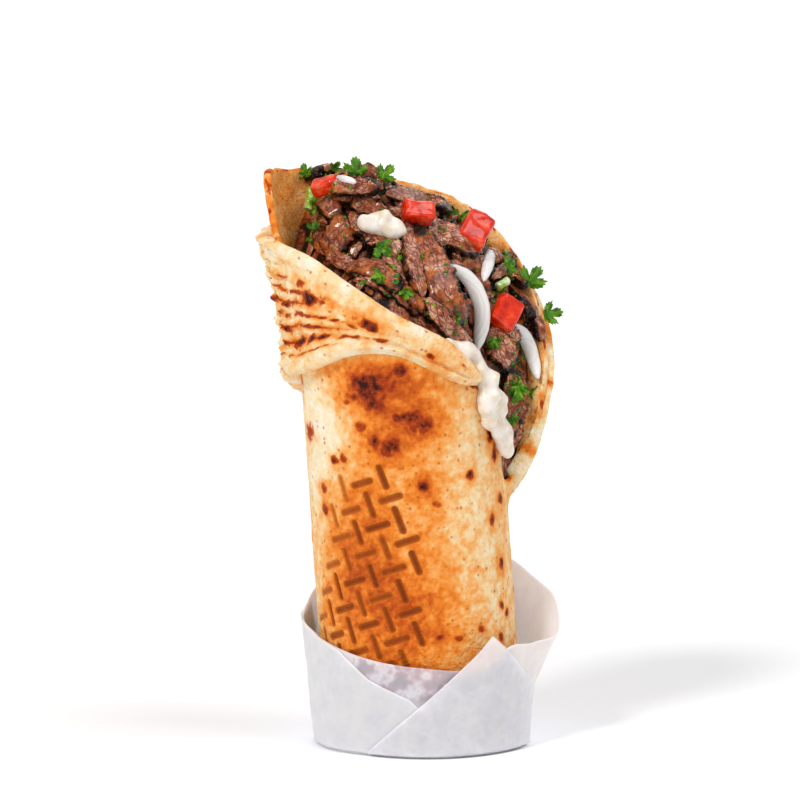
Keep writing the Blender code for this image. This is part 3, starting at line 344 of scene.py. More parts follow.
def about_roll(angles, radii, heights):
    """Points from angles in degrees, radii and heights about the leaning middle of the roll."""
    turn = np.radians(angles)
    return np.stack(
        [ROLL_LEAN * heights + radii * np.cos(turn), radii * np.sin(turn), heights + 0 * turn],
        axis=-1,
    )


def window(values, first, last, rise, fall):
    """1 between two values: it eases up from the first over rise, and down to the last over fall."""
    return smoothstep((values - first) / rise) * smoothstep((last - values) / fall)


def travel_along(points):
    """How far along a line each of its points is."""
    return np.concatenate([[0], np.cumsum(np.linalg.norm(np.diff(points, axis=0), axis=1))])


def rounded_edge(from_row, to_row, rise, arcs):
    """Rows of points that round an edge between two rows and rise by some height in its middle."""
    middle, half = (from_row + to_row) / 2, (from_row - to_row) / 2
    rows = []
    for arc in np.radians(arcs):
        row = middle + half * math.cos(arc)
        row[:, 2] += math.sin(arc) * rise
        rows.append(row)
    return np.stack(rows, axis=1)


def ripple(points, size, seed=0):
    """Smooth random values, mostly from -0.5 to 0.5, with bumps about size wide."""
    shape = np.shape(points)[:-1]
    shifted = np.reshape(points, (-1, 3)) / size + (seed * 17.31 + 0.37)
    return np.array([noise.noise(place) for place in shifted.tolist()]).reshape(shape)


def grid_piece(name, points, fields=None, uv=None):
    """A grid primitive whose points take their places from an array [along][up]; rows that meet are joined.

    Each field is an array of values [along][up] that becomes an attribute, and uv one of pairs in
    millimetres that becomes the UV map.
    """
    points = np.asarray(points, float)
    columns, rows = points.shape[:2]
    bpy.ops.object.select_all(action="DESELECT")
    bpy.ops.mesh.primitive_grid_add(x_subdivisions=columns - 1, y_subdivisions=rows - 1, size=1)
    piece = bpy.context.object
    piece.name = name
    piece.data.vertices.foreach_set("co", points.transpose(1, 0, 2).ravel())
    for field, values in (fields or {}).items():
        layer = piece.data.attributes.new(field, "FLOAT", "POINT")
        layer.data.foreach_set("value", np.asarray(values, np.float32).T.ravel())
    if uv is not None:
        corners = np.zeros(len(piece.data.loops), int)
        piece.data.loops.foreach_get("vertex_index", corners)
        flat = np.asarray(uv, float).transpose(1, 0, 2).reshape(-1, 2)
        piece.data.uv_layers[0].data.foreach_set("uv", (flat[corners] * MM).ravel())
    bpy.ops.object.mode_set(mode="EDIT")
    bpy.ops.mesh.select_all(action="SELECT")
    bpy.ops.mesh.remove_doubles(threshold=2e-6)
    bpy.ops.mesh.normals_make_consistent(inside=False)
    bpy.ops.object.mode_set(mode="OBJECT")
    piece.data.shade_smooth()
    return piece


def join(name, pieces):
    """Joins pieces into the first one."""
    bpy.ops.object.select_all(action="DESELECT")
    for piece in pieces:
        piece.select_set(True)
    bpy.context.view_layer.objects.active = pieces[0]
    bpy.ops.object.join()
    pieces[0].name = name
    return pieces[0]


def tree_of(*pieces):
    """A search tree of some pieces' faces."""
    corners, faces = [], []
    for piece in pieces:
        first = len(corners)
        corners += [vertex.co for vertex in piece.data.vertices]
        faces += [tuple(first + corner for corner in face.vertices) for face in piece.data.polygons]
    return BVHTree.FromPolygons(corners, faces)


def landing(ground, across, up, laid=FROM_FRONT):
    """Where something laid from one side at (across, up) in metres lands, and the face there."""
    upward, out = laid
    start = Vector((across, 0, 0)) + upward * up + out * 0.3
    place, normal, _, _ = ground.ray_cast(start, -out)
    if place is None:
        place, normal, _, _ = ground.find_nearest(start - out * 0.3)
    return place, normal


def connect(tree, node, inputs):
    """Fills some inputs of a node, each with a value or with a link from another node's socket."""
    for socket, value in inputs.items():
        if isinstance(value, bpy.types.NodeSocket):
            tree.links.new(value, node.inputs[socket])
        else:
            node.inputs[socket].default_value = value


def add(tree, kind, inputs=None, **settings):
    """Adds a shader node with its settings, its inputs' values and its links."""
    made = tree.nodes.new(kind)
    for name, value in settings.items():
        setattr(made, name, value)
    connect(tree, made, inputs or {})
    return made


def attribute(tree, name):
    """The values of one of the piece's attributes."""
    return add(tree, "ShaderNodeAttribute", attribute_name=name).outputs["Fac"]


def cloud(tree, place, scale, detail, roughness=0.5, distortion=0.0):
    """Soft noise with a number of waves for each metre."""
    names = ("Vector", "Scale", "Detail", "Roughness", "Distortion")
    values = (place, scale, detail, roughness, distortion)
    return add(tree, "ShaderNodeTexNoise", dict(zip(names, values))).outputs["Fac"]


def calc(tree, operation, *values, clamp=False):
    """What an operation makes of some values."""
    inputs = dict(enumerate(values))
    return add(tree, "ShaderNodeMath", inputs, operation=operation, use_clamp=clamp).outputs[0]


def remap(tree, value, *ends, **settings):
    """A value moved from the range of the first two ends to that of the last two, or else to 0 to 1."""
    return add(tree, "ShaderNodeMapRange", dict(enumerate((value, *ends))), **settings).outputs[0]


def blend(tree, share, first, second):
    """A colour that runs from the first to the second as the share runs from 0 to 1."""
    return add(tree, "ShaderNodeMix", {0: share, 6: first, 7: second}, data_type="RGBA").outputs[2]


def ramp(tree, share, *stops):
    """A colour from a run of colours, which is given as stops (place, colour)."""
    made = add(tree, "ShaderNodeValToRGB", {"Fac": share})
    elements = made.color_ramp.elements
    while len(elements) < len(stops):
        elements.new(0.5)
    for element, (place, shade) in zip(elements, stops):
        element.position, element.color = place, (*shade, 1)
    return made.outputs[0]


def bump(tree, height, strength, distance):
    """The surface's direction with some relief in it."""
    inputs = {"Height": height, "Strength": strength, "Distance": distance}
    return add(tree, "ShaderNodeBump", inputs).outputs[0]


def new_finish(name):
    """A new material, its node tree and its Principled shader."""
    finish = bpy.data.materials.new(name)
    finish.use_nodes = True
    return finish, finish.node_tree, finish.node_tree.nodes["Principled BSDF"]


def place_piece(piece, finish, slot, *nodes):
    """Gives a piece its finish and its body, and lets it stand for its nodes; the slot is not used."""
    piece.data.materials.clear()
    piece.data.materials.append(finish)
    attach(piece, "root")
    if nodes:
        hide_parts(*nodes)
    return piece


# ---- Bread --------------------------------------------------------------------------------------


def roll_columns(shares):
    """The rim's angle, radius and height, and the angle at the foot, at shares of the way round the rim."""
    first = ROLL_RIM[0][0]
    fine = np.linspace(first, first + 360, FINE_STEPS)
    radii, heights = smooth_at(ROLL_RIM, fine, closed=True).T
    travel = travel_along(about_roll(fine, radii, heights))
    angles = np.interp(shares, travel / travel[-1], fine)
    radii, heights = smooth_at(ROLL_RIM, angles, closed=True).T
    return angles, radii, heights, first + 360 * np.asarray(shares)


def flare_at(heights, throat, rim_heights):
    """How far the wall has opened out between its throat (0) and its rim (1)."""
    return smoothstep((heights - throat) / (rim_heights - throat) * FLARE_REACH) / smoothstep(FLARE_REACH)


def roll_wall(columns, shares):
    """Points of the roll's outer face at shares of the height of its rim, and their angles."""
    angles, radii, heights, foot_angles = (value[:, None] for value in columns)
    shares = np.asarray(shares)[None, :] if np.ndim(shares) == 1 else np.asarray(shares)
    height = shares * heights
    throat = THROAT_SHARE * heights + THROAT_RISE
    flare = flare_at(height, throat, heights)
    turned = foot_angles + (angles - foot_angles) * smoothstep(shares)
    return about_roll(turned, ROLL_RADIUS + (radii - ROLL_RADIUS) * flare, height), turned


def tucked_end(foot_angles, inset, foot, arcs):
    """Rows of points from the middle of the roll's lower end out to its wall."""
    radius = ROLL_RADIUS - inset
    outs = [0, 0.25 * radius, 0.5 * radius, 0.75 * radius]
    ups = [foot] * len(outs)
    for arc in np.radians(arcs):
        outs.append(radius - CORNER_RADIUS * (1 - math.sin(arc)))
        ups.append(foot + CORNER_RADIUS * (1 - math.cos(arc)))
    flat = 0 * foot_angles
    rows = [about_roll(foot_angles, out + flat, up + flat) for out, up in zip(outs, ups)]
    return np.stack(rows, axis=1)


def outward(points):
    """Outward directions at each point of a grid of points that closes on itself round the roll."""
    round_it = np.roll(points[:-1], -1, axis=0) - np.roll(points[:-1], 1, axis=0)
    round_it = np.concatenate([round_it, round_it[:1]])
    across = np.cross(round_it, np.gradient(points, axis=1))
    return across / np.maximum(np.linalg.norm(across, axis=2, keepdims=True), 1e-12)


def uneven(first, last, count, dense_from, dense_to, denser):
    """count + 1 values between two ends, closer together between dense_from and dense_to."""
    fine = np.linspace(first, last, 4001)
    weight = np.where((fine > dense_from) & (fine < dense_to), denser, 1.0)
    travel = np.concatenate([[0], np.cumsum((weight[1:] + weight[:-1]) / 2)])
    return np.interp(np.linspace(0, travel[-1], count + 1), travel, fine)


def pressed_bars(across, height):
    """How deep the griddle's bars are pressed at some places (0 to 1), and how dark they are."""
    depth, tone = np.zeros_like(across), np.zeros_like(across)
    picked = random.Random(WEAVE_SEED)
    left_height, left_across, left_slant, furthest = WEAVE_LEFT
    top_height, top_across, top_slant, straight_below = WEAVE_TOP_RIGHT
    for row in WEAVE_ROWS:
        for column in WEAVE_COLUMNS:
            bar_x, bar_z = (
                start + column * a + row * b
                for start, a, b in zip(WEAVE_START, WEAVE_STEP_A, WEAVE_STEP_B)
            )
            strength, length = picked.uniform(0.78, 1.0), picked.uniform(0.85, 1.08) * BAR_HALF_LENGTH
            slanted = top_across + (top_height - bar_z) * top_slant
            right = WEAVE_RIGHT if bar_z < straight_below else slanted
            left = max(left_across + (bar_z - left_height) * left_slant, furthest)
            if not (WEAVE_FOOT < bar_z < WEAVE_TOP and left < bar_x < right):
                continue
            run = np.array(WEAVE_STEP_A if (row + column) % 2 == 0 else WEAVE_STEP_B)
            run = run / math.hypot(*run)
            off_x, off_z = across - bar_x, height - bar_z
            along = np.clip(off_x * run[0] + off_z * run[1], -length, length)
            away = np.hypot(off_x - along * run[0], off_z - along * run[1])
            fade = BAR_FADE[0] + (1 - BAR_FADE[0]) * float(smoothstep((bar_x - left) / BAR_FADE[1]))
            bar = smoothstep((BAR_HALF_WIDTH + 0.25 - away) / 0.55) * fade
            depth = np.maximum(depth, bar * strength)
            inner = smoothstep((BAR_HALF_WIDTH + 0.18 - away) / 0.42) * fade * strength
            heart = np.exp(-((away / 0.62) ** 2)) * inner
            tone = np.maximum(tone, inner * 0.60 + heart * 0.34)
    return depth, tone


def soft_patch(reach):
    """How strong a burnt patch is at a share of the way out from its middle to its edge."""
    return np.exp(-(reach**2.4) * 0.85)


def patches(across, height, table, warp, spread=1.0):
    """The strongest of some soft, turned elliptical patches at some places."""
    total = np.zeros_like(across)
    for middle_x, middle_z, half_x, half_z, degrees, strength in table:
        turn = math.radians(degrees)
        off_x, off_z = across - middle_x, height - middle_z
        right = (off_x * math.cos(turn) + off_z * math.sin(turn)) / (half_x * spread)
        up = (off_z * math.cos(turn) - off_x * math.sin(turn)) / (half_z * spread)
        reach = np.maximum(np.sqrt(right**2 + up**2) + warp, 0)
        total = np.maximum(total, strength * soft_patch(reach))
    return total


def glow(across, height, table):
    """The sum of some wide, smooth areas at some places."""
    total = np.zeros_like(across)
    for middle_x, middle_z, half_x, half_z, strength in table:
        off_x, off_z = (across - middle_x) / half_x, (height - middle_z) / half_z
        total += strength * np.exp(-(off_x**2) - off_z**2)
    return total


def hidden_patches(seed):
    """Toasted and scorched patches, at random, for the side away from the serving side."""
    picked = random.Random(seed)
    half_round = math.pi * ROLL_RADIUS / MM
    toasts, scorches = [], []
    for _ in range(HIDDEN_TOASTS):
        side = picked.choice((-1, 1)) * picked.uniform(0.56, 0.95) * half_round
        place = (side, picked.uniform(30, 165))
        toasts.append((*place, picked.uniform(7, 15), picked.uniform(7, 15), picked.uniform(0.12, 0.38)))
    for _ in range(HIDDEN_SCORCHES):
        side = picked.choice((-1, 1)) * picked.uniform(0.50, 0.97) * half_round
        place, size = (side, picked.uniform(30, 165)), picked.uniform(0.9, 3.2)
        half_height, turn = size * picked.uniform(0.5, 1.1), picked.uniform(-40, 40)
        scorches.append((*place, size, half_height, turn, picked.uniform(0.45, 0.9)))
    return toasts, scorches


def roll_inside(settings, columns, start, rim_wave):
    """Points of the roll's inner wall, how toasted and scorched it is with painted shade toward the meat,
    and how far to the left.
    """
    inner_shares = uneven(0, 1, settings.inner_rows, 0.72, 1.0, 4.0)[None, :] * (1 - start) + start
    inner_wall, inner_turned = roll_wall(columns, inner_shares)
    inner_normals = outward(inner_wall)
    inner_bumps = ripple(inner_wall, 0.0065, 13) * 1.1 + ripple(inner_wall, 0.0024, 14) * 0.9
    raised = inner_bumps * 0.75 * MM * smoothstep(inner_shares / 0.9)
    inner = inner_wall - inner_normals * (BREAD_THICKNESS + raised)[..., None]
    inner[..., 2] += smoothstep((inner_shares - 0.97) / 0.03) * rim_wave[:, -1:] * 1.1 * MM
    inner_mottle = ripple(inner_wall, 0.0050, 15) + ripple(inner_wall, 0.0021, 16) * 0.8
    left_side = window(inner_turned, 120, 215, 25, 20)
    inner_toast = np.clip(0.42 + 0.08 * left_side + 0.10 * inner_mottle, 0, 1)
    streak = ripple(inner_wall * np.array([1, 1, 0.35]), 0.0022, 17)
    edge_streak = smoothstep((ripple(inner_wall * np.array([0.5, 0.5, 1.0]), 0.0024, 18) - 0.18) / 0.2)
    # Painted shade: the lower inner wall on the left darkens, as scorch, toward the meat deep in the mouth.
    painted_shade_by_meat = smoothstep((inner_wall[..., 0] + 0.0400) / 0.0040) * left_side
    painted_shade_by_meat = painted_shade_by_meat * smoothstep((inner_mottle + 0.20) / 0.5)
    inner_scorch = np.clip(painted_shade_by_meat * 0.60 + edge_streak * 0.22, 0, 1) * (0.8 + 0.6 * streak)
    return inner, inner_toast, inner_scorch, left_side


def make_roll_bread(settings):
    """The rolled sheet of bread: outer wall, rim, inner wall and tucked end, in relief."""
    angle_shares = np.sort(
        np.concatenate([
            np.linspace(0, 0.60, settings.columns * 36 // 100, endpoint=False),
            np.linspace(0.60, 0.80, settings.columns * 40 // 100, endpoint=False),
            np.linspace(0.80, 1, settings.columns * 24 // 100 + 1),
        ])
    )
    columns = roll_columns(angle_shares)
    foot_angles = columns[3]
    start = (ROLL_FOOT + CORNER_RADIUS) / columns[2][:, None]
    shares = uneven(0, 1, settings.rows, 0.16, 0.62, 1.7)[None, :] * (1 - start) + start
    wall, turned = roll_wall(columns, shares)
    normals = outward(wall)
    across = ((turned - 90) % 360 - 180) * (math.pi / 180) * ROLL_RADIUS / MM
    height = wall[..., 2] / MM

    warp = ripple(wall, 0.0042, 1) * 0.55 + ripple(wall, 0.0017, 2) * 0.40
    mottle = ripple(wall, 0.0075, 3) * 0.45 + ripple(wall, 0.0026, 4) * 0.7 + ripple(wall, 0.0012, 5) * 0.6
    hidden_toasts, hidden_scorches = hidden_patches(HIDDEN_SEED)
    burns = SCORCHES + hidden_scorches
    scorch = patches(across, height, burns, warp)
    halo = patches(across, height, burns, warp * 0.5, spread=2.2)
    toast = BREAD_BASE_TOAST + glow(across, height, TOASTED + hidden_toasts)
    toast = np.clip(toast * (1 + 0.26 * mottle) + 0.06 * mottle + 0.34 * halo, 0, 1)
    depth, tone = pressed_bars(across, height)
    bumps = ripple(wall, 0.0090, 6) * 0.50 + ripple(wall, 0.0030, 7) * 0.36 + ripple(wall, 0.0014, 8) * 0.30
    blister = smoothstep((ripple(wall, 0.0048, 9) - 0.20) / 0.30) * (0.35 + 0.65 * toast)
    lift = bumps * (0.55 + 0.6 * toast) + blister * 0.30 + scorch * (0.30 + ripple(wall, 0.0012, 10) * 0.9)
    lift = lift * settings.relief * (1 - depth) - depth * BAR_DEPTH
    hem = smoothstep((shares - 0.97) / 0.03)
    rim_wave = ripple(wall, 0.0050, 11) * 0.9 + ripple(wall, 0.0016, 12) * 0.5
    outer = wall + normals * (lift * MM)[..., None]
    outer[..., 2] += hem * rim_wave * 1.1 * MM

    inner, inner_toast, inner_scorch, left_side = roll_inside(settings, columns, start, rim_wave)
    rim_rows = rounded_edge(outer[:, -1], inner[:, -1], BREAD_THICKNESS * 0.42, (30, 60, 90, 120, 150))
    rim_toast = 0.42 + 0.25 * left_side[:, -1:] + 0.5 * mottle[:, -1:] + 0 * rim_rows[..., 0]
    rim_scorch = smoothstep((ripple(rim_rows, 0.0030, 19) - 0.16) / 0.25) * 0.55
    foot_arcs = (0, 30, 60)
    foot_out = tucked_end(foot_angles, 0, ROLL_FOOT, foot_arcs)
    foot_in = tucked_end(foot_angles, BREAD_THICKNESS, ROLL_FOOT + BREAD_THICKNESS, foot_arcs)[:, ::-1]
    points = np.concatenate([foot_out, outer, rim_rows, inner[:, ::-1], foot_in], axis=1)
    points[-1] = points[0]
    plain = np.zeros(foot_out.shape[:2])
    edge = smoothstep((ripple(wall, 0.0024, 20) - 0.14) / 0.25) * hem * 0.5
    fields = {
        "toast": [plain + 0.3, toast, rim_toast, inner_toast[:, ::-1], plain + 0.2],
        "scorch": [plain, np.maximum(scorch, edge), rim_scorch, inner_scorch[:, ::-1], plain],
        "press": [plain, tone, 0 * rim_rows[..., 0], 0 * inner_toast, plain],
    }
    for name, parts in fields.items():
        fields[name] = np.concatenate(parts, axis=1)
        fields[name][-1] = fields[name][0]
    return grid_piece("bread_roll", points, fields)


def lap_burns(base, angles, shares, wander):
    """How charred and how baked the lap is along its pleats, its scorched spots, and the glow round them."""
    char, baked = np.zeros(base.shape[:2]), np.zeros(base.shape[:2])
    along = base[..., 0] / MM
    torn = ripple(base, 0.0030, 26)
    for index, (place, half, start, end, strength) in enumerate(LAP_CHAR):
        bend = wander * 1.5 + 0.016 * np.sin(np.radians(angles * 3)) - 0.010 * torn
        off = (shares - place - bend) / half
        # Ragged dashes that lean a little and nearly meet, thick and thin by turns.
        key = np.stack([(along - 0.7 * off) / 1.9, index * 7.3 + 0 * off, 0 * off], -1)
        beat = ripple(key, 1.0, 25)
        dash = smoothstep((beat + 0.56) / 0.36)
        thick = np.maximum(0.74 + 0.8 * beat + 1.0 * torn, 0.3)
        held = window(angles, start, end, 8, 30) * strength
        char = np.maximum(char, held * dash * np.exp(-((off / thick) ** 2)) * (0.80 + 1.1 * beat))
        baked = np.maximum(baked, held * (0.45 + 0.55 * dash) * np.exp(-((off / 1.6) ** 2)))
    warp = ripple(base, 0.0038, 27) * 0.7 + ripple(base, 0.0016, 28) * 0.5
    spots, spot_halo = np.zeros_like(char), np.zeros_like(char)
    for angle, place, half_width, half, strength in LAP_SPOTS:
        off = (angles - angle) * math.pi / 180 * 38 / half_width
        reach = np.maximum(np.sqrt(off**2 + ((shares - place - 0.012 * off) / half) ** 2) + warp, 0)
        spots = np.maximum(spots, strength * soft_patch(reach))
        spot_halo = np.maximum(spot_halo, strength * np.exp(-((reach / 2.2) ** 2)))
    behind = smoothstep((165 - angles) / 20)
    char = np.maximum(char, behind * smoothstep((ripple(base, 0.0062, 29) - 0.26) / 0.5) * 0.50)
    baked = np.maximum(baked, behind * smoothstep((ripple(base, 0.0062, 29) + 0.06) / 0.6) * 0.8)
    return char, baked, spots, spot_halo


def lap_inside(angles, top, foot, rows):
    """Points of the lap's inner face from its top edge to its foot, where it bites into the roll's wall."""
    rim_radii, rim_heights = (value[:, None] for value in smooth_at(ROLL_RIM, angles[:, 0], closed=True).T)
    shares = np.linspace(1, 0, rows)[None, :]
    radii, heights = np.moveaxis(foot + (top - foot) * shares[..., None], -1, 0)
    radii = radii + LAP_CROWN * 4 * shares * (1 - shares) - LAP_THICKNESS
    throat = THROAT_SHARE * rim_heights + THROAT_RISE
    wall = ROLL_RADIUS + (rim_radii - ROLL_RADIUS) * flare_at(heights, throat, rim_heights) - LAP_BITE
    bitten = smoothstep((rim_heights + 0.001 - heights) / 0.002)
    radii = radii + (np.clip(radii, wall - LAP_BITE / 2, wall) - radii) * bitten
    return about_roll(angles, radii, heights)


def make_lap_bread(settings):
    """The outer lap of bread round the mouth, with its baked pleats and their charred crests."""
    first, last = LAP_TOP[0][0], LAP_TOP[-1][0]
    fine = np.linspace(first, last, FINE_STEPS)
    radii, heights = smooth_at(LAP_TOP, fine).T
    travel = travel_along(about_roll(fine, radii, heights))
    at = uneven(0, travel[-1], settings.lap_columns, 0.46 * travel[-1], travel[-1], 2.6)
    angles = np.interp(at, travel, fine)
    top, foot = smooth_at(LAP_TOP, angles)[:, None], smooth_at(LAP_FOOT, angles)[:, None]
    angles = angles[:, None]
    pleated, ragged = window(angles, RIDGE_FROM, RIDGE_TO, 30, 60), window(angles, 150, 225, 20, 30)

    shares = np.linspace(0, 1, settings.lap_rows + 1)[None, :]
    base_radii, base_heights = np.moveaxis(foot + (top - foot) * shares[..., None], -1, 0)
    base = about_roll(angles, base_radii, base_heights)
    wander = ripple(base, 0.010, 21) * 0.035 * pleated
    phase = RIDGE_COUNT * (shares + wander)
    swell = np.cos(2 * math.pi * phase)
    saw = 1 - 2 * (phase % 1.0)
    pleat = RIDGE_DEPTH * pleated * (0.55 * swell + 0.45 * saw)
    torn_edge = ripple(base, 0.0022, 34) * 1.3 + ripple(base, 0.0011, 35) * 0.7
    tooth = ragged * torn_edge * 0.0016
    bumps = ripple(base, 0.0085, 22) * 0.55 + ripple(base, 0.0030, 23) * 0.42
    bumps = bumps + ripple(base, 0.0013, 24) * 0.25

    char, baked, spots, spot_halo = lap_burns(base, angles, shares, wander)
    mottle = ripple(base, 0.0070, 30) * 0.9 + ripple(base, 0.0028, 31) * 0.7
    right = smoothstep((angles - 262) / 30)
    toast = 0.18 + 0.14 * right + 0.20 * mottle
    toast = np.clip(toast + 0.50 * baked + 0.44 * spot_halo, 0, 1)
    dark = np.clip(np.maximum(char * 0.86, spots), 0, 1)

    lift = bumps * settings.relief * (0.8 + 0.5 * toast) + spots * 0.30 + char * 0.22
    # On the left the lap draws in below its tip.
    drawn_in = window(angles, 150, 232, 25, 30)
    crown = (LAP_CROWN - LAP_DRAWN_IN * drawn_in) * 4 * shares * (1 - shares)
    # A thick, rounded hem along the lower edge, with a shallow valley above it.
    hem = np.exp(-(((shares - 0.075) / 0.075) ** 2)) - 0.7 * np.exp(-(((shares - 0.205) / 0.06) ** 2))
    hem = hem * HEM_HEIGHT * window(angles, 175, 312, 25, 12)
    outer_radii = base_radii + crown + pleat + tooth + hem + lift * MM
    frill = ripple(base, 0.0034, 32) * 0.0009 + ripple(base, 0.0012, 33) * 0.0005
    frill = frill * (0.30 + 0.70 * ragged)
    edges = smoothstep((0.10 - shares) / 0.10) + smoothstep((shares - 0.9) / 0.1)
    outer = about_roll(angles, outer_radii, base_heights + frill * edges)

    inner = lap_inside(angles, top, foot, settings.lap_rows // 4)
    arcs, bulge = (36, 72, 108, 144), LAP_THICKNESS * 0.34
    top_edge = rounded_edge(outer[:, -1], inner[:, 0], bulge, arcs)
    foot_edge = rounded_edge(inner[:, -1], outer[:, 0], -bulge, arcs)
    around = np.concatenate([outer, top_edge, inner, foot_edge, outer[:, :1]], axis=1)
    first_cap, last_cap = (
        np.repeat(end.mean(axis=1)[:, None], around.shape[1], axis=1) for end in (around[:1], around[-1:])
    )
    points = np.concatenate([first_cap, around, last_cap], axis=0)

    def round_it(face_values, edge_value, inner_value):
        """Values for every row round the lap's section, and its two caps."""
        top = np.repeat(face_values[:, -1:], top_edge.shape[1], axis=1) + edge_value
        foot = np.repeat(face_values[:, :1], foot_edge.shape[1], axis=1) + edge_value
        inside = np.full(inner.shape[:2], inner_value)
        whole = np.concatenate([face_values, top, inside, foot, face_values[:, :1]], axis=1)
        return np.clip(np.concatenate([whole[:1], whole, whole[-1:]], axis=0), 0, 1)

    fields = {
        "toast": round_it(toast, 0.05, 0.3),
        "scorch": round_it(dark, 0, 0),
        "press": round_it(0 * dark, 0, 0),
    }
    return grid_piece("bread_lap", points, fields)


def flatbread_finish(settings):
    """Griddled wheat flatbread: matt floury cream, orange where toasted, brown to black where burnt."""
    finish, tree, shader = new_finish("griddled_flatbread")
    place = add(tree, "ShaderNodeTexCoord").outputs["Object"]
    toast, scorch, press = (attribute(tree, name) for name in ("toast", "scorch", "press"))
    # The crumb's own mottling is 1 to 3 mm wide.
    mottle, blotch = cloud(tree, place, 520, 5, 0.62), cloud(tree, place, 230, 4, 0.6)
    fine = calc(tree, "MULTIPLY_ADD", mottle, 0.46, -0.23)
    wide = calc(tree, "MULTIPLY_ADD", blotch, 0.60, -0.30)
    level = calc(tree, "ADD", toast, calc(tree, "ADD", fine, wide), clamp=True)
    baked = ramp(
        tree, level, (0.02, settings.dough), (0.22, settings.cream), (0.42, settings.golden),
        (0.62, settings.toasted), (0.82, settings.browned), (1.00, settings.deep),
    )
    # Pressed bars are browned, and darkest along their middle.
    bar_shades = ((0.0, settings.toasted), (0.62, settings.pressed), (1.0, settings.bar_heart))
    bar_shade = ramp(tree, press, *bar_shades)
    pressed = blend(tree, remap(tree, press, 0.05, 0.45, 0.0, 0.92), baked, bar_shade)
    # Tiny burnt flecks under 1 mm wide, some 3 mm apart.
    fleck = add(tree, "ShaderNodeTexVoronoi", {"Vector": place, "Scale": 380, "Randomness": 1.0}).outputs
    fleck_size = remap(tree, fleck["Distance"], 0.10, 0.27, 0.80, 0.0)
    fleck_pick = remap(tree, fleck["Color"], 0.48, 0.66, 0.0, 1.0)
    flecked = blend(tree, calc(tree, "MULTIPLY", fleck_size, fleck_pick), pressed, (*settings.fleck, 1))
    rough_scorch = calc(tree, "MULTIPLY_ADD", mottle, 2.3, -0.20)
    burnt = calc(tree, "MULTIPLY", scorch, rough_scorch, clamp=True)
    burn_cover = remap(tree, burnt, 0.10, 0.32, interpolation_type="SMOOTHSTEP")
    burn_shade = ramp(
        tree, burnt, (0.16, settings.browned), (0.44, settings.scorched), (0.80, settings.charred),
        (1.00, settings.black),
    )
    # Pores and flour grain, 0.6 to 1.5 mm wide.
    relief = calc(tree, "MULTIPLY_ADD", mottle, 0.8, cloud(tree, place, 1000, 3, 0.55))
    connect(tree, shader, {
        "Base Color": blend(tree, burn_cover, flecked, burn_shade),
        "Roughness": remap(tree, level, 0.2, 0.9, 0.62, 0.40),
        "Normal": bump(tree, relief, 0.9, 0.00085),
        "IOR": 1.45,
        "Specular IOR Level": 0.16,
        "Subsurface Weight": 0.30,
        "Subsurface Radius": (1.0, 0.42, 0.12),
        "Subsurface Scale": 0.002,
    })
    return finish


# ---- Meat ---------------------------------------------------------------------------------------


def make_core(columns_round=240, rows_up=26, rings_over=44):
    """The packed meat inside the roll, up to its crown in the mouth, with browned crags and painted shade in
    the hollows between them.
    """
    columns = roll_columns(np.linspace(0, 1, columns_round + 1))
    angles, _, heights, foot_angles = columns
    inset = BREAD_THICKNESS + FILLING_SLACK
    fill = 1 - smooth_at(FILLING_DEPTH, angles, closed=True)[:, 0] / heights
    start = (FILLING_FOOT + CORNER_RADIUS) / np.min(heights)
    up = np.linspace(0, 1, rows_up + 1)[None, :]
    wall, _ = roll_wall(columns, start + (fill[:, None] - start) * up)
    wall = wall - inset * outward(wall)
    ring, middle = wall[:, -1], np.array(FILLING_MIDDLE)
    over = []
    for share in np.linspace(0, 1, rings_over + 1)[1:]:
        flat = ring + (middle - ring) * share
        off = np.linalg.norm(flat[:, :2] - np.array(HUMP_PLACE), axis=1) / HUMP_SPREAD
        hump = HUMP_HEIGHT * np.exp(-(off**4)) * smoothstep(share * HUMP_EDGE)
        raised = flat + np.array(MOUTH_NORMAL) * FILLING_CROWN * smoothstep(share * 1.3) ** 0.7
        raised[:, 2] += hump
        craggy = ripple(raised, 0.0042, 61) * 1.9 + ripple(raised, 0.0019, 62) * 0.9
        over.append(raised + np.array(MOUTH_NORMAL) * (craggy * smoothstep(share * 9) * MM)[:, None])
    over = np.stack(over, axis=1)
    end = tucked_end(foot_angles, inset, FILLING_FOOT, (0, 45))
    points = np.concatenate([end, wall, over], axis=1)
    points[-1] = points[0]
    # The char is strongest where the crags are lowest, as painted shade in the hollows, and also in random
    # patches.
    patchy, deep = ripple(points, 0.0040, 63), ripple(points, 0.0042, 61)
    fields = {
        "sear": np.clip(0.62 + 1.2 * patchy, 0, 1),
        "char": np.clip(0.40 - 1.3 * deep + 0.5 * patchy, 0, 1),
    }
    return grid_piece("packed_meat", points, fields, points[..., [0, 1]] / MM)


def smooth_run(stations, steps):
    """Places and their shares of the way along a smooth line through some stations."""
    knots = np.array([(index, *station) for index, station in enumerate(stations)], float)
    marks = np.linspace(0, len(stations) - 1, steps + 1)
    return smooth_at(knots, marks) * MM, marks / marks[-1]


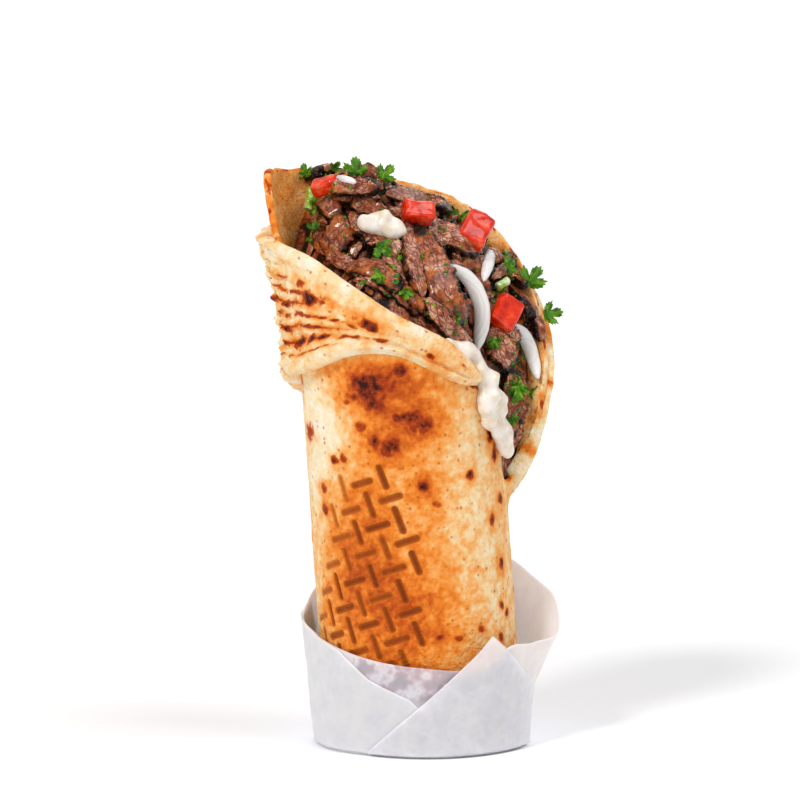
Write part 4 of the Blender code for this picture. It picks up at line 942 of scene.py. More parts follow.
def strip_path(ground, stations, steps, raised, lean, laid):
    """A strip's middle line over the heap, its shares, and which way its side and its face look along it."""
    upward, out = laid
    places, shares = smooth_run(stations, steps)
    hits = [landing(ground, across, up, laid) for across, up in places]
    depths = np.array([place.dot(out) for place, _ in hits])
    depths = np.polyval(np.polyfit(shares, depths, 3), shares) + raised
    facing = sum((normal for _, normal in hits), Vector()).normalized()
    facing = (facing + out * 0.9).normalized()
    middles = np.array([
        Vector((across, 0, 0)) + upward * up + out * depth
        for (across, up), depth in zip(places, depths)
    ])
    run = np.gradient(middles, axis=0)
    run /= np.linalg.norm(run, axis=1, keepdims=True)
    side = np.cross(np.array(facing)[None, :], run)
    side /= np.linalg.norm(side, axis=1, keepdims=True)
    face = np.cross(run, side)
    # Each strip leans a little to one side, so that one edge stands over its neighbour.
    leaning = side * math.cos(lean) + face * math.sin(lean)
    return shares, middles, leaning, face * math.cos(lean) - side * math.sin(lean)


def make_strip(ground, row, seed, sides, steps, laid=FROM_FRONT):
    """A strip of carved meat that follows the heap, with its grain, crags and browned edges."""
    stations, width, thickness, lift, charred = row
    width, thickness, lift = width * MM, thickness * MM, lift * MM
    picked = random.Random(seed)
    lean = math.radians(STRIP_LEAN * (picked.random() * 2 - 1))
    shares, middles, side, out_from = strip_path(ground, stations, steps, lift + thickness * 0.5, lean, laid)
    travel = travel_along(middles)

    # The section is a flattened, squarish loop, and each side of the strip is ragged in its own way.
    turns = 2 * math.pi * np.arange(sides + 1) / sides
    turns[-1] = 0
    cosine, sine = np.cos(turns)[:, None], np.sin(turns)[:, None]
    flat_x = np.sign(cosine) * np.abs(cosine) ** 0.50
    flat_y = np.sign(sine) * np.abs(sine) ** 0.42
    key = np.stack([travel / 0.0040, 0 * travel + seed * 3.7, 0 * travel], -1)
    ragged_a = 1 + 0.24 * ripple(key, 1.0, seed) + 0.16 * ripple(key * 3.4, 1.0, seed + 1)
    ragged_b = 1 + 0.24 * ripple(key + 40, 1.0, seed) + 0.16 * ripple(key * 3.4 + 40, 1.0, seed + 1)
    swell = np.clip(1 - np.abs(2 * shares - 1) ** 3.2, 0, 1) ** 0.62
    half = np.where(cosine > 0, ragged_a[None, :], ragged_b[None, :]) * width / 2 * swell[None, :]
    across = flat_x * half
    up = flat_y * thickness / 2 * swell[None, :]
    across_mm = (flat_x * width / 2 / MM) + 0 * across
    along_mm = (travel / MM)[None, :] + 0 * across
    # The grain runs along the strip: ridges about 1 mm apart, and wider folds about 5 mm apart.
    flow = np.stack([across_mm + 0.10 * along_mm, along_mm * 0.22, 0 * across + seed * 5.1], -1)
    grain = ripple(flow, 1.5, seed + 2) * 0.14 + ripple(flow, 0.7, seed + 3) * 0.12
    folds = ripple(flow * np.array([1, 1.9, 1]), 5.2, seed + 4) * 1.3
    bowed = -0.10 * (across_mm / (width / 2 / MM)) ** 2 * thickness / MM
    up = up + (grain + folds + bowed) * MM * 0.78 * np.maximum(sine, -0.2) * swell[None, :]
    points = middles[None] + side[None] * across[..., None] + out_from[None] * up[..., None]
    # Crags 1 to 2 mm wide stand out of the rims and the ends.
    rim = smoothstep((np.abs(cosine) - 0.66) / 0.26) + 0 * across
    first_end, last_end = smoothstep((0.24 - shares) / 0.20), smoothstep((shares - 0.76) / 0.20)
    ends = np.maximum(charred[0] * first_end, charred[1] * last_end)[None, :] + 0 * across
    crag = ripple(points, 0.0021, seed + 5) * 0.70 + ripple(points, 0.0010, seed + 6) * 0.6
    wild = np.clip(0.18 + 1.0 * rim + 1.0 * ends, 0, 1.6)
    tips = (swell[None, :] > 0.05) * 1.0
    outward_dir = side[None] * flat_x[..., None] + out_from[None] * flat_y[..., None]
    points = points + outward_dir * (crag * wild * tips * 0.90 * MM)[..., None]
    # The rims and the ends are seared, and crisp here and there. The underside is darker too, partly sear
    # and partly painted shade under the strip.
    patchy = ripple(points, 0.0030, seed + 7)
    flank = smoothstep((0.80 - sine) / 0.30) + 0 * across
    # Painted shade under the strip, partly sear.
    under = smoothstep((0.35 - sine) / 0.45) + 0 * across
    browned, crisp = picked.choice((-0.10, 0.0, 0.12, 0.42)), picked.choice((0.45, 0.70, 0.95))
    rimmed = smoothstep((np.abs(cosine) - 0.42 - 0.30 * patchy) / 0.34)
    sear = 0.13 + browned + 0.70 * rimmed + 0.20 * flank + 0.95 * patchy + 0.40 * ends + 0.40 * under
    edge = smoothstep((np.abs(cosine) - 0.52 - 0.40 * patchy) / 0.30)
    char = ends * (0.95 + 1.2 * patchy) + edge * (crisp + 1.4 * patchy) + 0.30 * under
    fields = {"sear": np.clip(sear, 0, 1), "char": np.clip(char, 0, 1)}
    return grid_piece("strip", points, fields, np.stack([along_mm, across_mm], axis=-1))


def in_outline(x, y, outline):
    """Whether a place lies inside an outline of places."""
    inside = False
    for (x1, y1), (x2, y2) in zip(outline, outline[1:] + outline[:1]):
        if (y1 > y) != (y2 > y) and x < (x2 - x1) * (y - y1) / (y2 - y1) + x1:
            inside = not inside
    return inside


def crown_places(count, seed):
    """Random places (across, back) in millimetres over the heap, as seen from above."""
    picked, found = random.Random(seed), []
    while len(found) < count:
        across, back = picked.uniform(-1, 1), picked.uniform(-1, 1)
        if math.hypot(across, back) < 1:
            parts = zip(CROWN_MIDDLE, (across, back), CROWN_REACH)
            found.append(tuple(middle + off * reach for middle, off, reach in parts))
    return found


def mouth_places(count, seed):
    """Random places spread over the mouth."""
    picked, found = random.Random(seed), []
    while len(found) < count:
        place = (picked.uniform(-36, 38), picked.uniform(93, 178))
        if in_outline(*place, MOUTH_OUTLINE):
            found.append(place)
    return found


def make_meat(core):
    """The strips of meat that show in the mouth, and the scraps packed between them, as one piece."""
    ground = tree_of(core)
    strips = [
        make_strip(ground, row, index * STRIP_SEEDS + 1, STRIP_SIDES, STRIP_STEPS)
        for index, row in enumerate(MEAT_STRIPS)
    ]
    picked = random.Random(SCRAP_SEED)
    spots = [(place, FROM_FRONT) for place in mouth_places(SCRAP_COUNT, SCRAP_SEED)]
    spots += [(place, FROM_ABOVE) for place in crown_places(CROWN_SCRAPS, SCRAP_SEED)]
    for index, ((across, up), laid) in enumerate(spots):
        turn, reach = picked.uniform(*SCRAP_TURN), picked.uniform(*SCRAP_LENGTH) / 2
        step = (reach * math.cos(turn), reach * math.sin(turn))
        stations = [(across - step[0], up - step[1]), (across, up), (across + step[0], up + step[1])]
        seats = [landing(ground, side * MM, rise * MM, laid)[0] for side, rise in stations]
        if max((seats[0] - seats[1]).length, (seats[1] - seats[2]).length) > SCRAP_DROP:
            continue
        width = picked.uniform(*SCRAP_WIDTH)
        lift, charred = picked.uniform(*SCRAP_SINK), (picked.random(), picked.random())
        row = (stations, width, width * SCRAP_FLATNESS, lift, charred)
        seed = SCRAP_FIRST_SEED + index * STRIP_SEEDS
        strips.append(make_strip(ground, row, seed, SCRAP_SIDES, SCRAP_STEPS, laid))
    return join("carved_meat", strips)


def meat_finish(settings):
    """Carved roast beef or lamb: pink-brown cut grain, crisp brown edges, black at the burnt tips, juicy.
    The char colour also paints shade in the hollows of the packed meat and under the strips.
    """
    finish, tree, shader = new_finish("carved_roast_meat")
    place = add(tree, "ShaderNodeTexCoord").outputs
    # Muscle fibres about 0.7 mm across, drawn out along the strip.
    lengthwise = add(tree, "ShaderNodeMapping", {"Vector": place["UV"], "Scale": (420, 1500, 1)}).outputs[0]
    fibre, clump = cloud(tree, lengthwise, 1.0, 4, 0.6), cloud(tree, place["Object"], 300, 6, 0.68)
    # Bundles of fibres 2 mm across and 2.6 mm long, with dark creases between them.
    bundles = add(tree, "ShaderNodeMapping", {"Vector": place["UV"], "Scale": (385, 500, 1)}).outputs[0]
    crease = add(
        tree, "ShaderNodeTexVoronoi", {"Vector": bundles, "Scale": 1.0, "Randomness": 1.0},
        feature="DISTANCE_TO_EDGE", voronoi_dimensions="2D",
    )
    creased = remap(tree, crease.outputs["Distance"], 0.01, 0.09, 1.0, 0.0)
    grain = calc(tree, "MULTIPLY_ADD", fibre, 0.7, clump)
    flesh = ramp(
        tree, grain, (0.64, settings.gravy), (0.80, settings.flesh), (0.90, settings.pink),
        (1.00, settings.fat),
    )
    bundled = blend(tree, calc(tree, "MULTIPLY", creased, 0.72), flesh, (*settings.gravy, 1))
    crusts = ((0.32, settings.crust_dark), (0.48, settings.crust), (0.66, settings.crust_light))
    crust = ramp(tree, clump, *crusts)
    rough = calc(tree, "MULTIPLY_ADD", clump, 0.9, -0.45)
    seared = calc(tree, "ADD", attribute(tree, "sear"), rough, clamp=True)
    browned = blend(tree, remap(tree, seared, 0.40, 0.66), bundled, crust)
    # The char attribute carries burnt tips and painted shade in the hollows and under the strips.
    burnt = calc(tree, "ADD", attribute(tree, "char"), rough, clamp=True)
    connect(tree, shader, {
        "Base Color": blend(tree, remap(tree, burnt, 0.34, 0.66), browned, (*settings.char, 1)),
        "Roughness": remap(tree, clump, 0.35, 0.65, 0.20, 0.50),
        "Normal": bump(tree, calc(tree, "MULTIPLY_ADD", creased, -0.55, grain), 0.9, 0.00045),
        "IOR": 1.42,
        "Specular IOR Level": 0.28,
        "Coat Weight": 0.5,
        "Coat Roughness": 0.08,
    })
    return finish


# ---- Salad and sauce ----------------------------------------------------------------------------


def modify(piece, kind, **settings):
    """Applies a modifier with some settings to a piece that is the active one."""
    made = piece.modifiers.new(kind.lower(), kind)
    for name, value in settings.items():
        setattr(made, name, value)
    bpy.ops.object.modifier_apply(modifier=made.name)


def refined_copy(node, name, levels=2, voxel=0.0, flat=False):
    """A merged, finer copy of a CAD node's own mesh, smoothed unless flat."""
    bpy.ops.object.select_all(action="DESELECT")
    piece = bpy.data.objects.new(name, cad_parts[node].data.copy())
    bpy.context.scene.collection.objects.link(piece)
    piece.select_set(True)
    bpy.context.view_layer.objects.active = piece
    bpy.ops.object.mode_set(mode="EDIT")
    bpy.ops.mesh.select_all(action="SELECT")
    bpy.ops.mesh.remove_doubles(threshold=1e-6)
    bpy.ops.object.mode_set(mode="OBJECT")
    if voxel:
        modify(piece, "REMESH", mode="VOXEL", voxel_size=voxel)
    if levels:
        kind = "SIMPLE" if flat else "CATMULL_CLARK"
        modify(piece, "SUBSURF", subdivision_type=kind, levels=levels, render_levels=levels)
    piece.data.shade_smooth()
    return piece


def push(piece, amount):
    """Moves each of a piece's points along its normal by an amount from a function of the points."""
    count = len(piece.data.vertices)
    places, normals = np.zeros(count * 3), np.zeros(count * 3)
    piece.data.vertices.foreach_get("co", places)
    piece.data.vertices.foreach_get("normal", normals)
    places, normals = places.reshape(-1, 3), normals.reshape(-1, 3)
    moved = places + normals * amount(places)[:, None]
    piece.data.vertices.foreach_set("co", moved.ravel())
    piece.data.update()
    return piece


def make_tomato(node):
    """A dice of tomato with soft, uneven cut faces."""
    piece = refined_copy(node, node.replace("tomato", "tomato_dice"), levels=3, flat=True)
    modify(piece, "SMOOTH", factor=0.5, iterations=3)
    return push(piece, lambda at: (ripple(at, 0.0034, 41) * 0.5 + ripple(at, 0.0013, 42) * 0.12) * MM)


def tomato_finish(settings):
    """Wet tomato: a smooth red skin side and paler, grainier cut flesh that light enters."""
    finish, tree, shader = new_finish("ripe_tomato_flesh")
    flesh = cloud(tree, add(tree, "ShaderNodeTexCoord").outputs["Object"], 260, 4)
    shades = ((0.32, settings.skin), (0.55, settings.flesh), (0.78, settings.core))
    connect(tree, shader, {
        "Base Color": ramp(tree, flesh, *shades),
        "Normal": bump(tree, flesh, 0.35, 0.0003),
        "Roughness": 0.20,
        "Coat Weight": 0.4,
        "Coat Roughness": 0.05,
        "Subsurface Weight": 0.15,
        "Subsurface Radius": (1.0, 0.22, 0.08),
        "Subsurface Scale": 0.0015,
        "IOR": 1.36,
    })
    return finish


def make_onion(node):
    """A sliver of raw onion, with ribs that follow its curve."""
    piece = refined_copy(node, node.replace("onion", "onion_sliver"), levels=2)
    push(piece, lambda at: ripple(at * np.array([1, 1, 0.4]), 0.0020, 43) * 0.16 * MM)
    places = np.zeros(len(piece.data.vertices) * 3)
    piece.data.vertices.foreach_get("co", places)
    places = places.reshape(-1, 3)
    flat = np.stack([places[:, 0], places @ np.array(SERVING_UP)], axis=-1)
    # The ribs run at even distances from the middle of the circle that fits the sliver best.
    system = np.column_stack([2 * flat, np.ones(len(flat))])
    middle = np.linalg.lstsq(system, (flat**2).sum(axis=1), rcond=None)[0][:2]
    ribs = piece.data.attributes.new("rib", "FLOAT", "POINT")
    ribs.data.foreach_set("value", (np.linalg.norm(flat - middle, axis=1) / MM).astype(np.float32))
    return piece


def onion_finish(settings):
    """Raw white onion: wet, milky and slightly see-through, with pale ribs along it."""
    finish, tree, shader = new_finish("raw_onion")
    # Ribs about 0.8 mm apart.
    inputs = {"W": attribute(tree, "rib"), "Scale": 1.25, "Detail": 2}
    ribs = add(tree, "ShaderNodeTexNoise", inputs, noise_dimensions="1D").outputs["Fac"]
    connect(tree, shader, {
        "Base Color": ramp(tree, ribs, (0.34, settings.shade), (0.60, settings.flesh)),
        "Normal": bump(tree, ribs, 0.05, 0.0003),
        "Roughness": 0.24,
        "Coat Weight": 0.35,
        "Coat Roughness": 0.1,
        "Subsurface Weight": 0.8,
        "Subsurface Radius": (1.0, 0.9, 0.72),
        "Subsurface Scale": 0.004,
        "IOR": 1.36,
    })
    return finish


def make_sauce(node, name):
    """Thick sauce, with soft folds and drips."""
    piece = refined_copy(node, name, levels=0, voxel=0.00035)
    swollen = SAUCE_SWELL[node] * MM
    push(piece, lambda at: swollen + (ripple(at, 0.0050, 44) * 2.2 + ripple(at, 0.0027, 45) * 0.8) * MM)
    modify(piece, "SMOOTH", factor=0.5, iterations=9)
    return piece


def sauce_finish(settings):
    """Garlic yoghurt sauce: creamy off-white, thick and wet."""
    finish, tree, shader = new_finish("garlic_yoghurt_sauce")
    streaks = cloud(tree, add(tree, "ShaderNodeTexCoord").outputs["Object"], 260, 3)
    connect(tree, shader, {
        "Base Color": ramp(tree, streaks, (0.3, settings.thin), (0.6, settings.thick)),
        "Roughness": 0.25,
        "Coat Weight": 0.4,
        "Coat Roughness": 0.1,
        "Subsurface Weight": 0.5,
        "Subsurface Radius": (1.0, 0.85, 0.6),
        "Subsurface Scale": 0.0015,
        "IOR": 1.38,
    })
    return finish


def make_scallion(node):
    """A cut of spring onion: a rounded, slightly crooked tube end."""
    piece = refined_copy(node, node.replace("scallion", "spring_onion"), levels=0, voxel=0.00028)
    modify(piece, "SMOOTH", factor=0.5, iterations=3)
    return push(piece, lambda at: ripple(at, 0.0022, 46) * 0.5 * MM)


def scallion_finish(settings):
    """Spring onion: glossy, from leaf green to white."""
    finish, tree, shader = new_finish("spring_onion_flesh")
    layers = cloud(tree, add(tree, "ShaderNodeTexCoord").outputs["Object"], 230, 2)
    shades = ((0.34, settings.green), (0.52, settings.light), (0.68, settings.white))
    connect(tree, shader, {
        "Base Color": ramp(tree, layers, *shades),
        "Roughness": 0.2,
        "Coat Weight": 0.4,
        "Subsurface Weight": 0.2,
        "Subsurface Scale": 0.001,
    })
    return finish


def leaf_reach(bearing):
    """How far a parsley leaf's outline reaches at a bearing in degrees, as a share of its length."""
    off = np.abs((bearing + 180) % 360 - 180)
    return np.interp(off, [lobe for lobe, _ in LEAF_LOBES], [reach for _, reach in LEAF_LOBES])


def facing_frame(place, facing, turn):
    """A frame at a place that looks out along facing, with its x axis turned up from across."""
    right = Vector((1, 0, 0))
    right = (right - facing * right.dot(facing)).normalized()
    up = facing.cross(right)
    swing = math.radians(turn)
    first = right * math.cos(swing) + up * math.sin(swing)
    built = Matrix((first, facing.cross(first), facing)).transposed().to_4x4()
    built.translation = place
    return built


def make_leaf(name, frame_at, length, curl, seed, bearings=160, rings=6):
    """A lobed, toothed and wavy parsley leaf as a thin closed sheet."""
    bearing = np.linspace(-180, 180, bearings + 1)
    turn, reach = np.radians(bearing)[:, None], leaf_reach(bearing)[:, None]
    shares = np.linspace(0, 1, rings + 1)[None, :]
    out = length * (1 - LEAF_HEART) * reach * shares
    x = length * LEAF_HEART + out * np.cos(turn)
    y = out * np.sin(turn)
    trough = np.abs(np.sin(turn * 1.5)) * 0.14
    rise = length * (0.10 * np.sin(3 * turn + seed) - curl + trough + 0.05 * np.sin(9 * turn)) * shares**1.6
    vein = np.abs(np.cos(turn * 3)) ** 14 * shares * (1.1 - shares * 0.6)
    vein = np.where(np.abs(turn) < 1.45, vein, 0)
    layers = []
    for side in (1, -1):
        z = rise + side * LEAF_THICKNESS / 2 * (1 - 0.6 * shares**6) - vein * 0.00022
        layers.append(np.stack([x + 0 * z, y + 0 * z, z], -1))
    points = np.concatenate([layers[0], layers[1][:, ::-1]], axis=1)
    points = np.einsum("ij,abj->abi", np.array(frame_at.to_3x3()), points) + np.array(frame_at.translation)
    field = np.concatenate([vein, vein[:, ::-1]], axis=1)
    return grid_piece(name, points, {"vein": field})


def make_cad_leaf(name, place, back, length, turn, index):
    """A parsley leaf in the place of its CAD node."""
    back = back * MM
    across, up = place[0] * MM, place[1] * MM
    seat = Vector((across, back, (up - back * math.sin(SERVING_TILT)) / math.cos(SERVING_TILT)))
    at = facing_frame(seat, (SERVING_SIDE + Vector((0, 0, 0.25))).normalized(), turn)
    return make_leaf(name.replace("parsley", "parsley_leaf"), at, length * MM, 0.16, index * 1.7)


def parsley_finish(settings):
    """Flat parsley: bright green, soft sheen, paler veins, some light through the leaf."""
    finish, tree, shader = new_finish("fresh_parsley")
    mottle = cloud(tree, add(tree, "ShaderNodeTexCoord").outputs["Object"], 500, 3)
    shade = ramp(tree, mottle, (0.30, settings.dark), (0.52, settings.green), (0.74, settings.light))
    pale = calc(tree, "MULTIPLY", attribute(tree, "vein"), 0.6)
    connect(tree, shader, {
        "Base Color": blend(tree, pale, shade, (*settings.light, 1)),
        "Normal": bump(tree, mottle, 0.4, 0.0002),
        "Roughness": 0.38,
        "Specular IOR Level": 0.25,
        "Subsurface Weight": 0.15,
        "Subsurface Radius": (0.6, 1.0, 0.05),
        "Subsurface Scale": 0.0008,
    })
    return finish


def make_herbs(ground):
    """Chopped parsley scattered over the filling, with some torn leaves, as one piece."""
    picked = random.Random(HERB_SEED)
    places = mouth_places(HERB_COUNT, HERB_SEED)
    for across, up, spread, count in HERB_KNOTS:
        for _ in range(count):
            places.append((picked.gauss(across, spread * 0.5), picked.gauss(up, spread * 0.5)))
    bpy.ops.object.select_all(action="DESELECT")
    bpy.ops.mesh.primitive_uv_sphere_add(segments=7, ring_count=4, radius=1.0)
    flake = bpy.context.object
    flakes = []
    for index, (across, up) in enumerate(places):
        place, normal = landing(ground, across * MM, up * MM)
        if abs(place.x - across * MM) > HERB_STRAY:
            continue
        half = picked.uniform(*HERB_SIZE) * MM * (1.3 if index >= HERB_COUNT else 0.8)
        facing = (normal + Vector([picked.uniform(-0.35, 0.35) for _ in range(3)])).normalized()
        at = facing_frame(place + normal * HERB_LIFT, facing, picked.uniform(0, 360))
        copy = flake.copy()
        copy.data = flake.data.copy()
        bpy.context.scene.collection.objects.link(copy)
        for vertex in copy.data.vertices:
            edge = 1 + 0.9 * noise.noise(vertex.co * 1.4 + Vector((index * 3.1, 0, 0)))
            curl = 0.35 * (vertex.co.x**2 - vertex.co.y * 0.5)
            flat = (vertex.co.x * edge * half, vertex.co.y * edge * half * 0.66)
            vertex.co = Vector((*flat, (vertex.co.z * 0.22 + curl) * half))
        copy.data.transform(at)
        copy.data.attributes.new("vein", "FLOAT", "POINT")
        flakes.append(copy)
    bpy.data.objects.remove(flake)
    for index, (across, up, length, turn) in enumerate(TORN_LEAVES):
        place, normal = landing(ground, across * MM, up * MM)
        facing = (normal + SERVING_SIDE * 0.8).normalized()
        at = facing_frame(place + normal * LEAF_LIFT, facing, turn)
        flakes.append(make_leaf("torn_leaf", at, length * MM, -0.02, index * 2.3, bearings=90, rings=4))
    herbs = join("chopped_parsley", flakes)
    herbs.data.shade_smooth()
    return herbs


# ---- Paper --------------------------------------------------------------------------------------


def paper_points(angles, heights, layer):
    """Points on the sleeve's outer face at arrays of angles and heights, some layers out."""
    flat = (angles % 360.0).ravel()
    foot = smooth_at(PAPER_FOOT, flat, closed=True)[:, 0].reshape(angles.shape)
    crease = smooth_at(PAPER_CREASE, flat, closed=True)
    crease_radius, crease_height = crease[:, 0].reshape(angles.shape), crease[:, 1].reshape(angles.shape)
    top = smooth_at(PAPER_TOP, flat, closed=True)
    top_radius, top_height = top[:, 0].reshape(angles.shape), top[:, 1].reshape(angles.shape)
    below = foot + (crease_radius - foot) * heights / crease_height
    share = (heights - crease_height) / (top_height - crease_height)
    radius = np.where(heights < crease_height, below, crease_radius + (top_radius - crease_radius) * share)
    radius = radius + layer * PAPER_LAYER
    turn = np.radians(angles)
    return np.stack([radius * np.cos(turn), radius * np.sin(turn), heights], -1)


def crumpled(points):
    """Points with the soft dents and sharp creases of handled paper."""
    dents = ripple(points, 0.014, 51) * 1.3 + ripple(points, 0.0065, 52) * 0.6
    creases = 0.5 - np.abs(ripple(points * np.array([1, 1, 0.6]), 0.011, 53)) * 2.4
    lean = np.concatenate([points[..., :2], 0 * points[..., 2:]], -1)
    lean /= np.maximum(np.linalg.norm(lean, axis=-1, keepdims=True), 1e-9)
    grounded = smoothstep(points[..., 2] / 0.004)
    return points + lean * ((dents + creases * 0.45) * CRUMPLE * grounded * MM)[..., None]


def paper_sheet(name, points, stain):
    """A sheet of paper from a grid of points on one of its faces."""
    sheet = grid_piece(name, crumpled(points), {"stain": stain})
    modify(sheet, "SOLIDIFY", thickness=PAPER_THICKNESS, offset=-1)
    return sheet


def make_sleeve(columns_round=200):
    """The cup of paper: a flat foot and a wall up to the top edge, stained where the bread shows through."""
    angles = np.linspace(0, 360, columns_round + 1)[:, None]
    top = smooth_at(PAPER_TOP, angles[:, 0] % 360.0, closed=True)[:, 1:2]
    heights = PAPER_LAYER + (top - PAPER_LAYER) * np.linspace(0, 1, SLEEVE_ROWS)[None, :]
    wall = paper_points(angles + 0 * heights, heights, 0)
    foot = paper_points(angles, 0 * angles, 0)
    floor = [foot * share for share in (0.0, 0.5, 0.985)]
    points = np.concatenate([*floor, wall], axis=1)
    points[-1] = points[0]
    stain = window(angles, *STAIN_SIDES, 12, 12) * smoothstep((heights - STAIN_FROM) / 0.006)
    stain = np.concatenate([np.zeros((len(angles), 3)), stain], axis=1)
    return paper_sheet("paper_sleeve", points, stain)


def make_panel(name, outline, layer, columns=110, rows=40):
    """A layer folded over the sleeve's outside, within an outline of angles and heights."""
    first, last = min(corner[0] for corner in outline), max(corner[0] for corner in outline)
    angles = np.linspace(first + 0.4, last - 0.4, columns)
    lows, highs = [], []
    for angle in angles:
        levels = [
            low + (high - low) * (angle - start) / (end - start)
            for (start, low), (end, high) in zip(outline, outline[1:] + outline[:1])
            if min(start, end) <= angle <= max(start, end) and start != end
        ]
        lows.append(min(levels))
        highs.append(max(max(levels), min(levels) + 0.0003))
    lows, highs = np.array(lows)[:, None], np.array(highs)[:, None]
    heights = lows + (highs - lows) * np.linspace(0, 1, rows)[None, :]
    stain = PANEL_STAIN * (layer - 1) + 0 * heights
    return paper_sheet(name, paper_points(angles[:, None] + 0 * heights, heights, layer), stain)


def paper_finish(settings):
    """Thin greaseproof paper: matt, milky white and cool, faintly stained where bread shows."""
    finish, tree, shader = new_finish("greaseproof_paper")
    place = add(tree, "ShaderNodeTexCoord").outputs["Object"]
    shade = ramp(tree, cloud(tree, place, 120, 4), (0.34, settings.shade), (0.66, settings.paper))
    # Grease and toast behind the paper, in patches 3 to 8 mm wide.
    patch = cloud(tree, place, 170, 2, 0.55)
    stained = ramp(
        tree, patch, (0.34, settings.damp), (0.46, settings.grease), (0.60, settings.shade),
        (0.72, settings.toast_stain),
    )
    cover = calc(tree, "MULTIPLY", attribute(tree, "stain"), 0.95)
    # Soft wrinkles 2 to 4 mm apart, and the paper's own tooth.
    wrinkle = cloud(tree, place, 150, 5, 0.5, 0.6)
    connect(tree, shader, {
        "Base Color": blend(tree, cover, shade, stained),
        "Normal": bump(tree, wrinkle, 0.35, 0.0012),
        "Roughness": 0.5,
        "Specular IOR Level": 0.3,
        "Subsurface Weight": 0.9,
        "Subsurface Radius": (1, 1, 1),
        "Subsurface Scale": 0.001,
    })
    return finish


# ---- Stage --------------------------------------------------------------------------------------


def add_light(name, bearing, height, strength, spread, shade):
    """A broad, distant lamp. It shines from a bearing (0 is -Y, 90 is +X) and a height, in degrees."""
    turn, rise = math.radians(bearing), math.radians(height)
    away = Vector((math.sin(turn) * math.cos(rise), -math.cos(turn) * math.cos(rise), math.sin(rise)))
    bpy.ops.object.light_add(type="SUN", location=away * 3)
    lamp = bpy.context.object
    lamp.name = name
    lamp.data.energy, lamp.data.angle, lamp.data.color = strength, math.radians(spread), shade
    lamp.rotation_mode = "QUATERNION"
    lamp.rotation_quaternion = (-away).to_track_quat("-Z", "Y")
    return lamp


def make_stage(settings):
    """The floor, the light and the camera."""
    bpy.ops.object.select_all(action="DESELECT")
    bpy.ops.mesh.primitive_plane_add(size=FLOOR_SIZE, location=(0, 0, 0))
    floor = bpy.context.object
    floor.name = "floor"
    finish, _, shader = new_finish("pale_floor")
    shader.inputs["Base Color"].default_value = (*settings.floor, 1)
    shader.inputs["Roughness"].default_value = 0.9
    shader.inputs["Specular IOR Level"].default_value = 0.0
    floor.data.materials.append(finish)

    world = bpy.data.worlds.new("studio")
    bpy.context.scene.world = world
    world.use_nodes = True
    sky = world.node_tree.nodes["Background"]
    sky.inputs["Color"].default_value = (1, 1, 1, 1)
    sky.inputs["Strength"].default_value = settings.fill
    add_light("key", -36, 42, settings.key, 15, (1.0, 0.99, 0.97))
    add_light("side", 62, 58, settings.side, 34, (0.99, 0.99, 1.0))
    add_light("rim", 170, 45, settings.rim, 40, (1.0, 1.0, 1.0))

    bpy.ops.object.camera_add()
    camera = bpy.context.object
    camera.data.lens, camera.data.sensor_width = LENS, 36
    away = VIEW_WIDTH * LENS / camera.data.sensor_width
    target = Vector((VIEW_CENTRE[0], 0, 0)) + SERVING_UP * VIEW_CENTRE[1]
    camera.location = target + SERVING_SIDE * away
    camera.rotation_mode = "QUATERNION"
    camera.rotation_quaternion = (-SERVING_SIDE).to_track_quat("-Z", "Y")
    camera.data.clip_start, camera.data.clip_end = 0.1, 50
    camera.data.dof.use_dof = False
    bpy.context.scene.camera = camera
    bpy.context.scene.view_settings.view_transform = "Standard"
    return floor


# ---- Settings -----------------------------------------------------------------------------------


def shade_of(name, description, value):
    """A colour setting with an sRGB default."""
    return FloatVectorProperty(
        name=name, description=description, subtype="COLOR", size=3, min=0, max=1, default=srgb(value)
    )


def count_of(name, description, value, least):
    """A setting that counts faces."""
    return IntProperty(name=name, description=description, default=value, min=least)


def strength_of(name, description, value):
    """A setting for how strong a lamp is."""
    return FloatProperty(name=name, description=description, default=value, min=0)


class BreadSettings(bpy.types.PropertyGroup):
    """Relief, fineness and colours of the flatbread."""

    relief: FloatProperty(
        name="Relief", description="Height of the bumps, in millimetres", default=0.42, min=0, max=2
    )
    columns: count_of("Columns", "Columns of faces round the roll", 300, 60)
    rows: count_of("Rows", "Rows of faces up the roll's outer wall", 235, 40)
    inner_rows: count_of("Inner rows", "Rows of faces up the inner wall", 50, 12)
    lap_columns: count_of("Lap columns", "Columns of faces round the lap", 420, 60)
    lap_rows: count_of("Lap rows", "Rows of faces up the lap", 84, 16)
    dough: shade_of("Dough", "Untoasted, floury bread", "#FDF0D8")
    cream: shade_of("Cream", "Lightly baked bread", "#FADCAA")
    golden: shade_of("Golden", "Golden bread", "#F8B264")
    toasted: shade_of("Toasted", "Well toasted bread", "#F08C2C")
    browned: shade_of("Browned", "Browned bread", "#D96A18")
    deep: shade_of("Deep", "The darkest toast", "#B84A0C")
    pressed: shade_of("Pressed", "Where the griddle's bars pressed", "#A64A06")
    bar_heart: shade_of("Bar heart", "The dark middle of a pressed bar", "#5E2002")
    fleck: shade_of("Fleck", "Tiny burnt flecks", "#BE5A10")
    scorched: shade_of("Scorched", "Red-brown scorching", "#B0400C")
    charred: shade_of("Charred", "Charred bread", "#74240A")
    black: shade_of("Black", "Burnt black", "#331006")


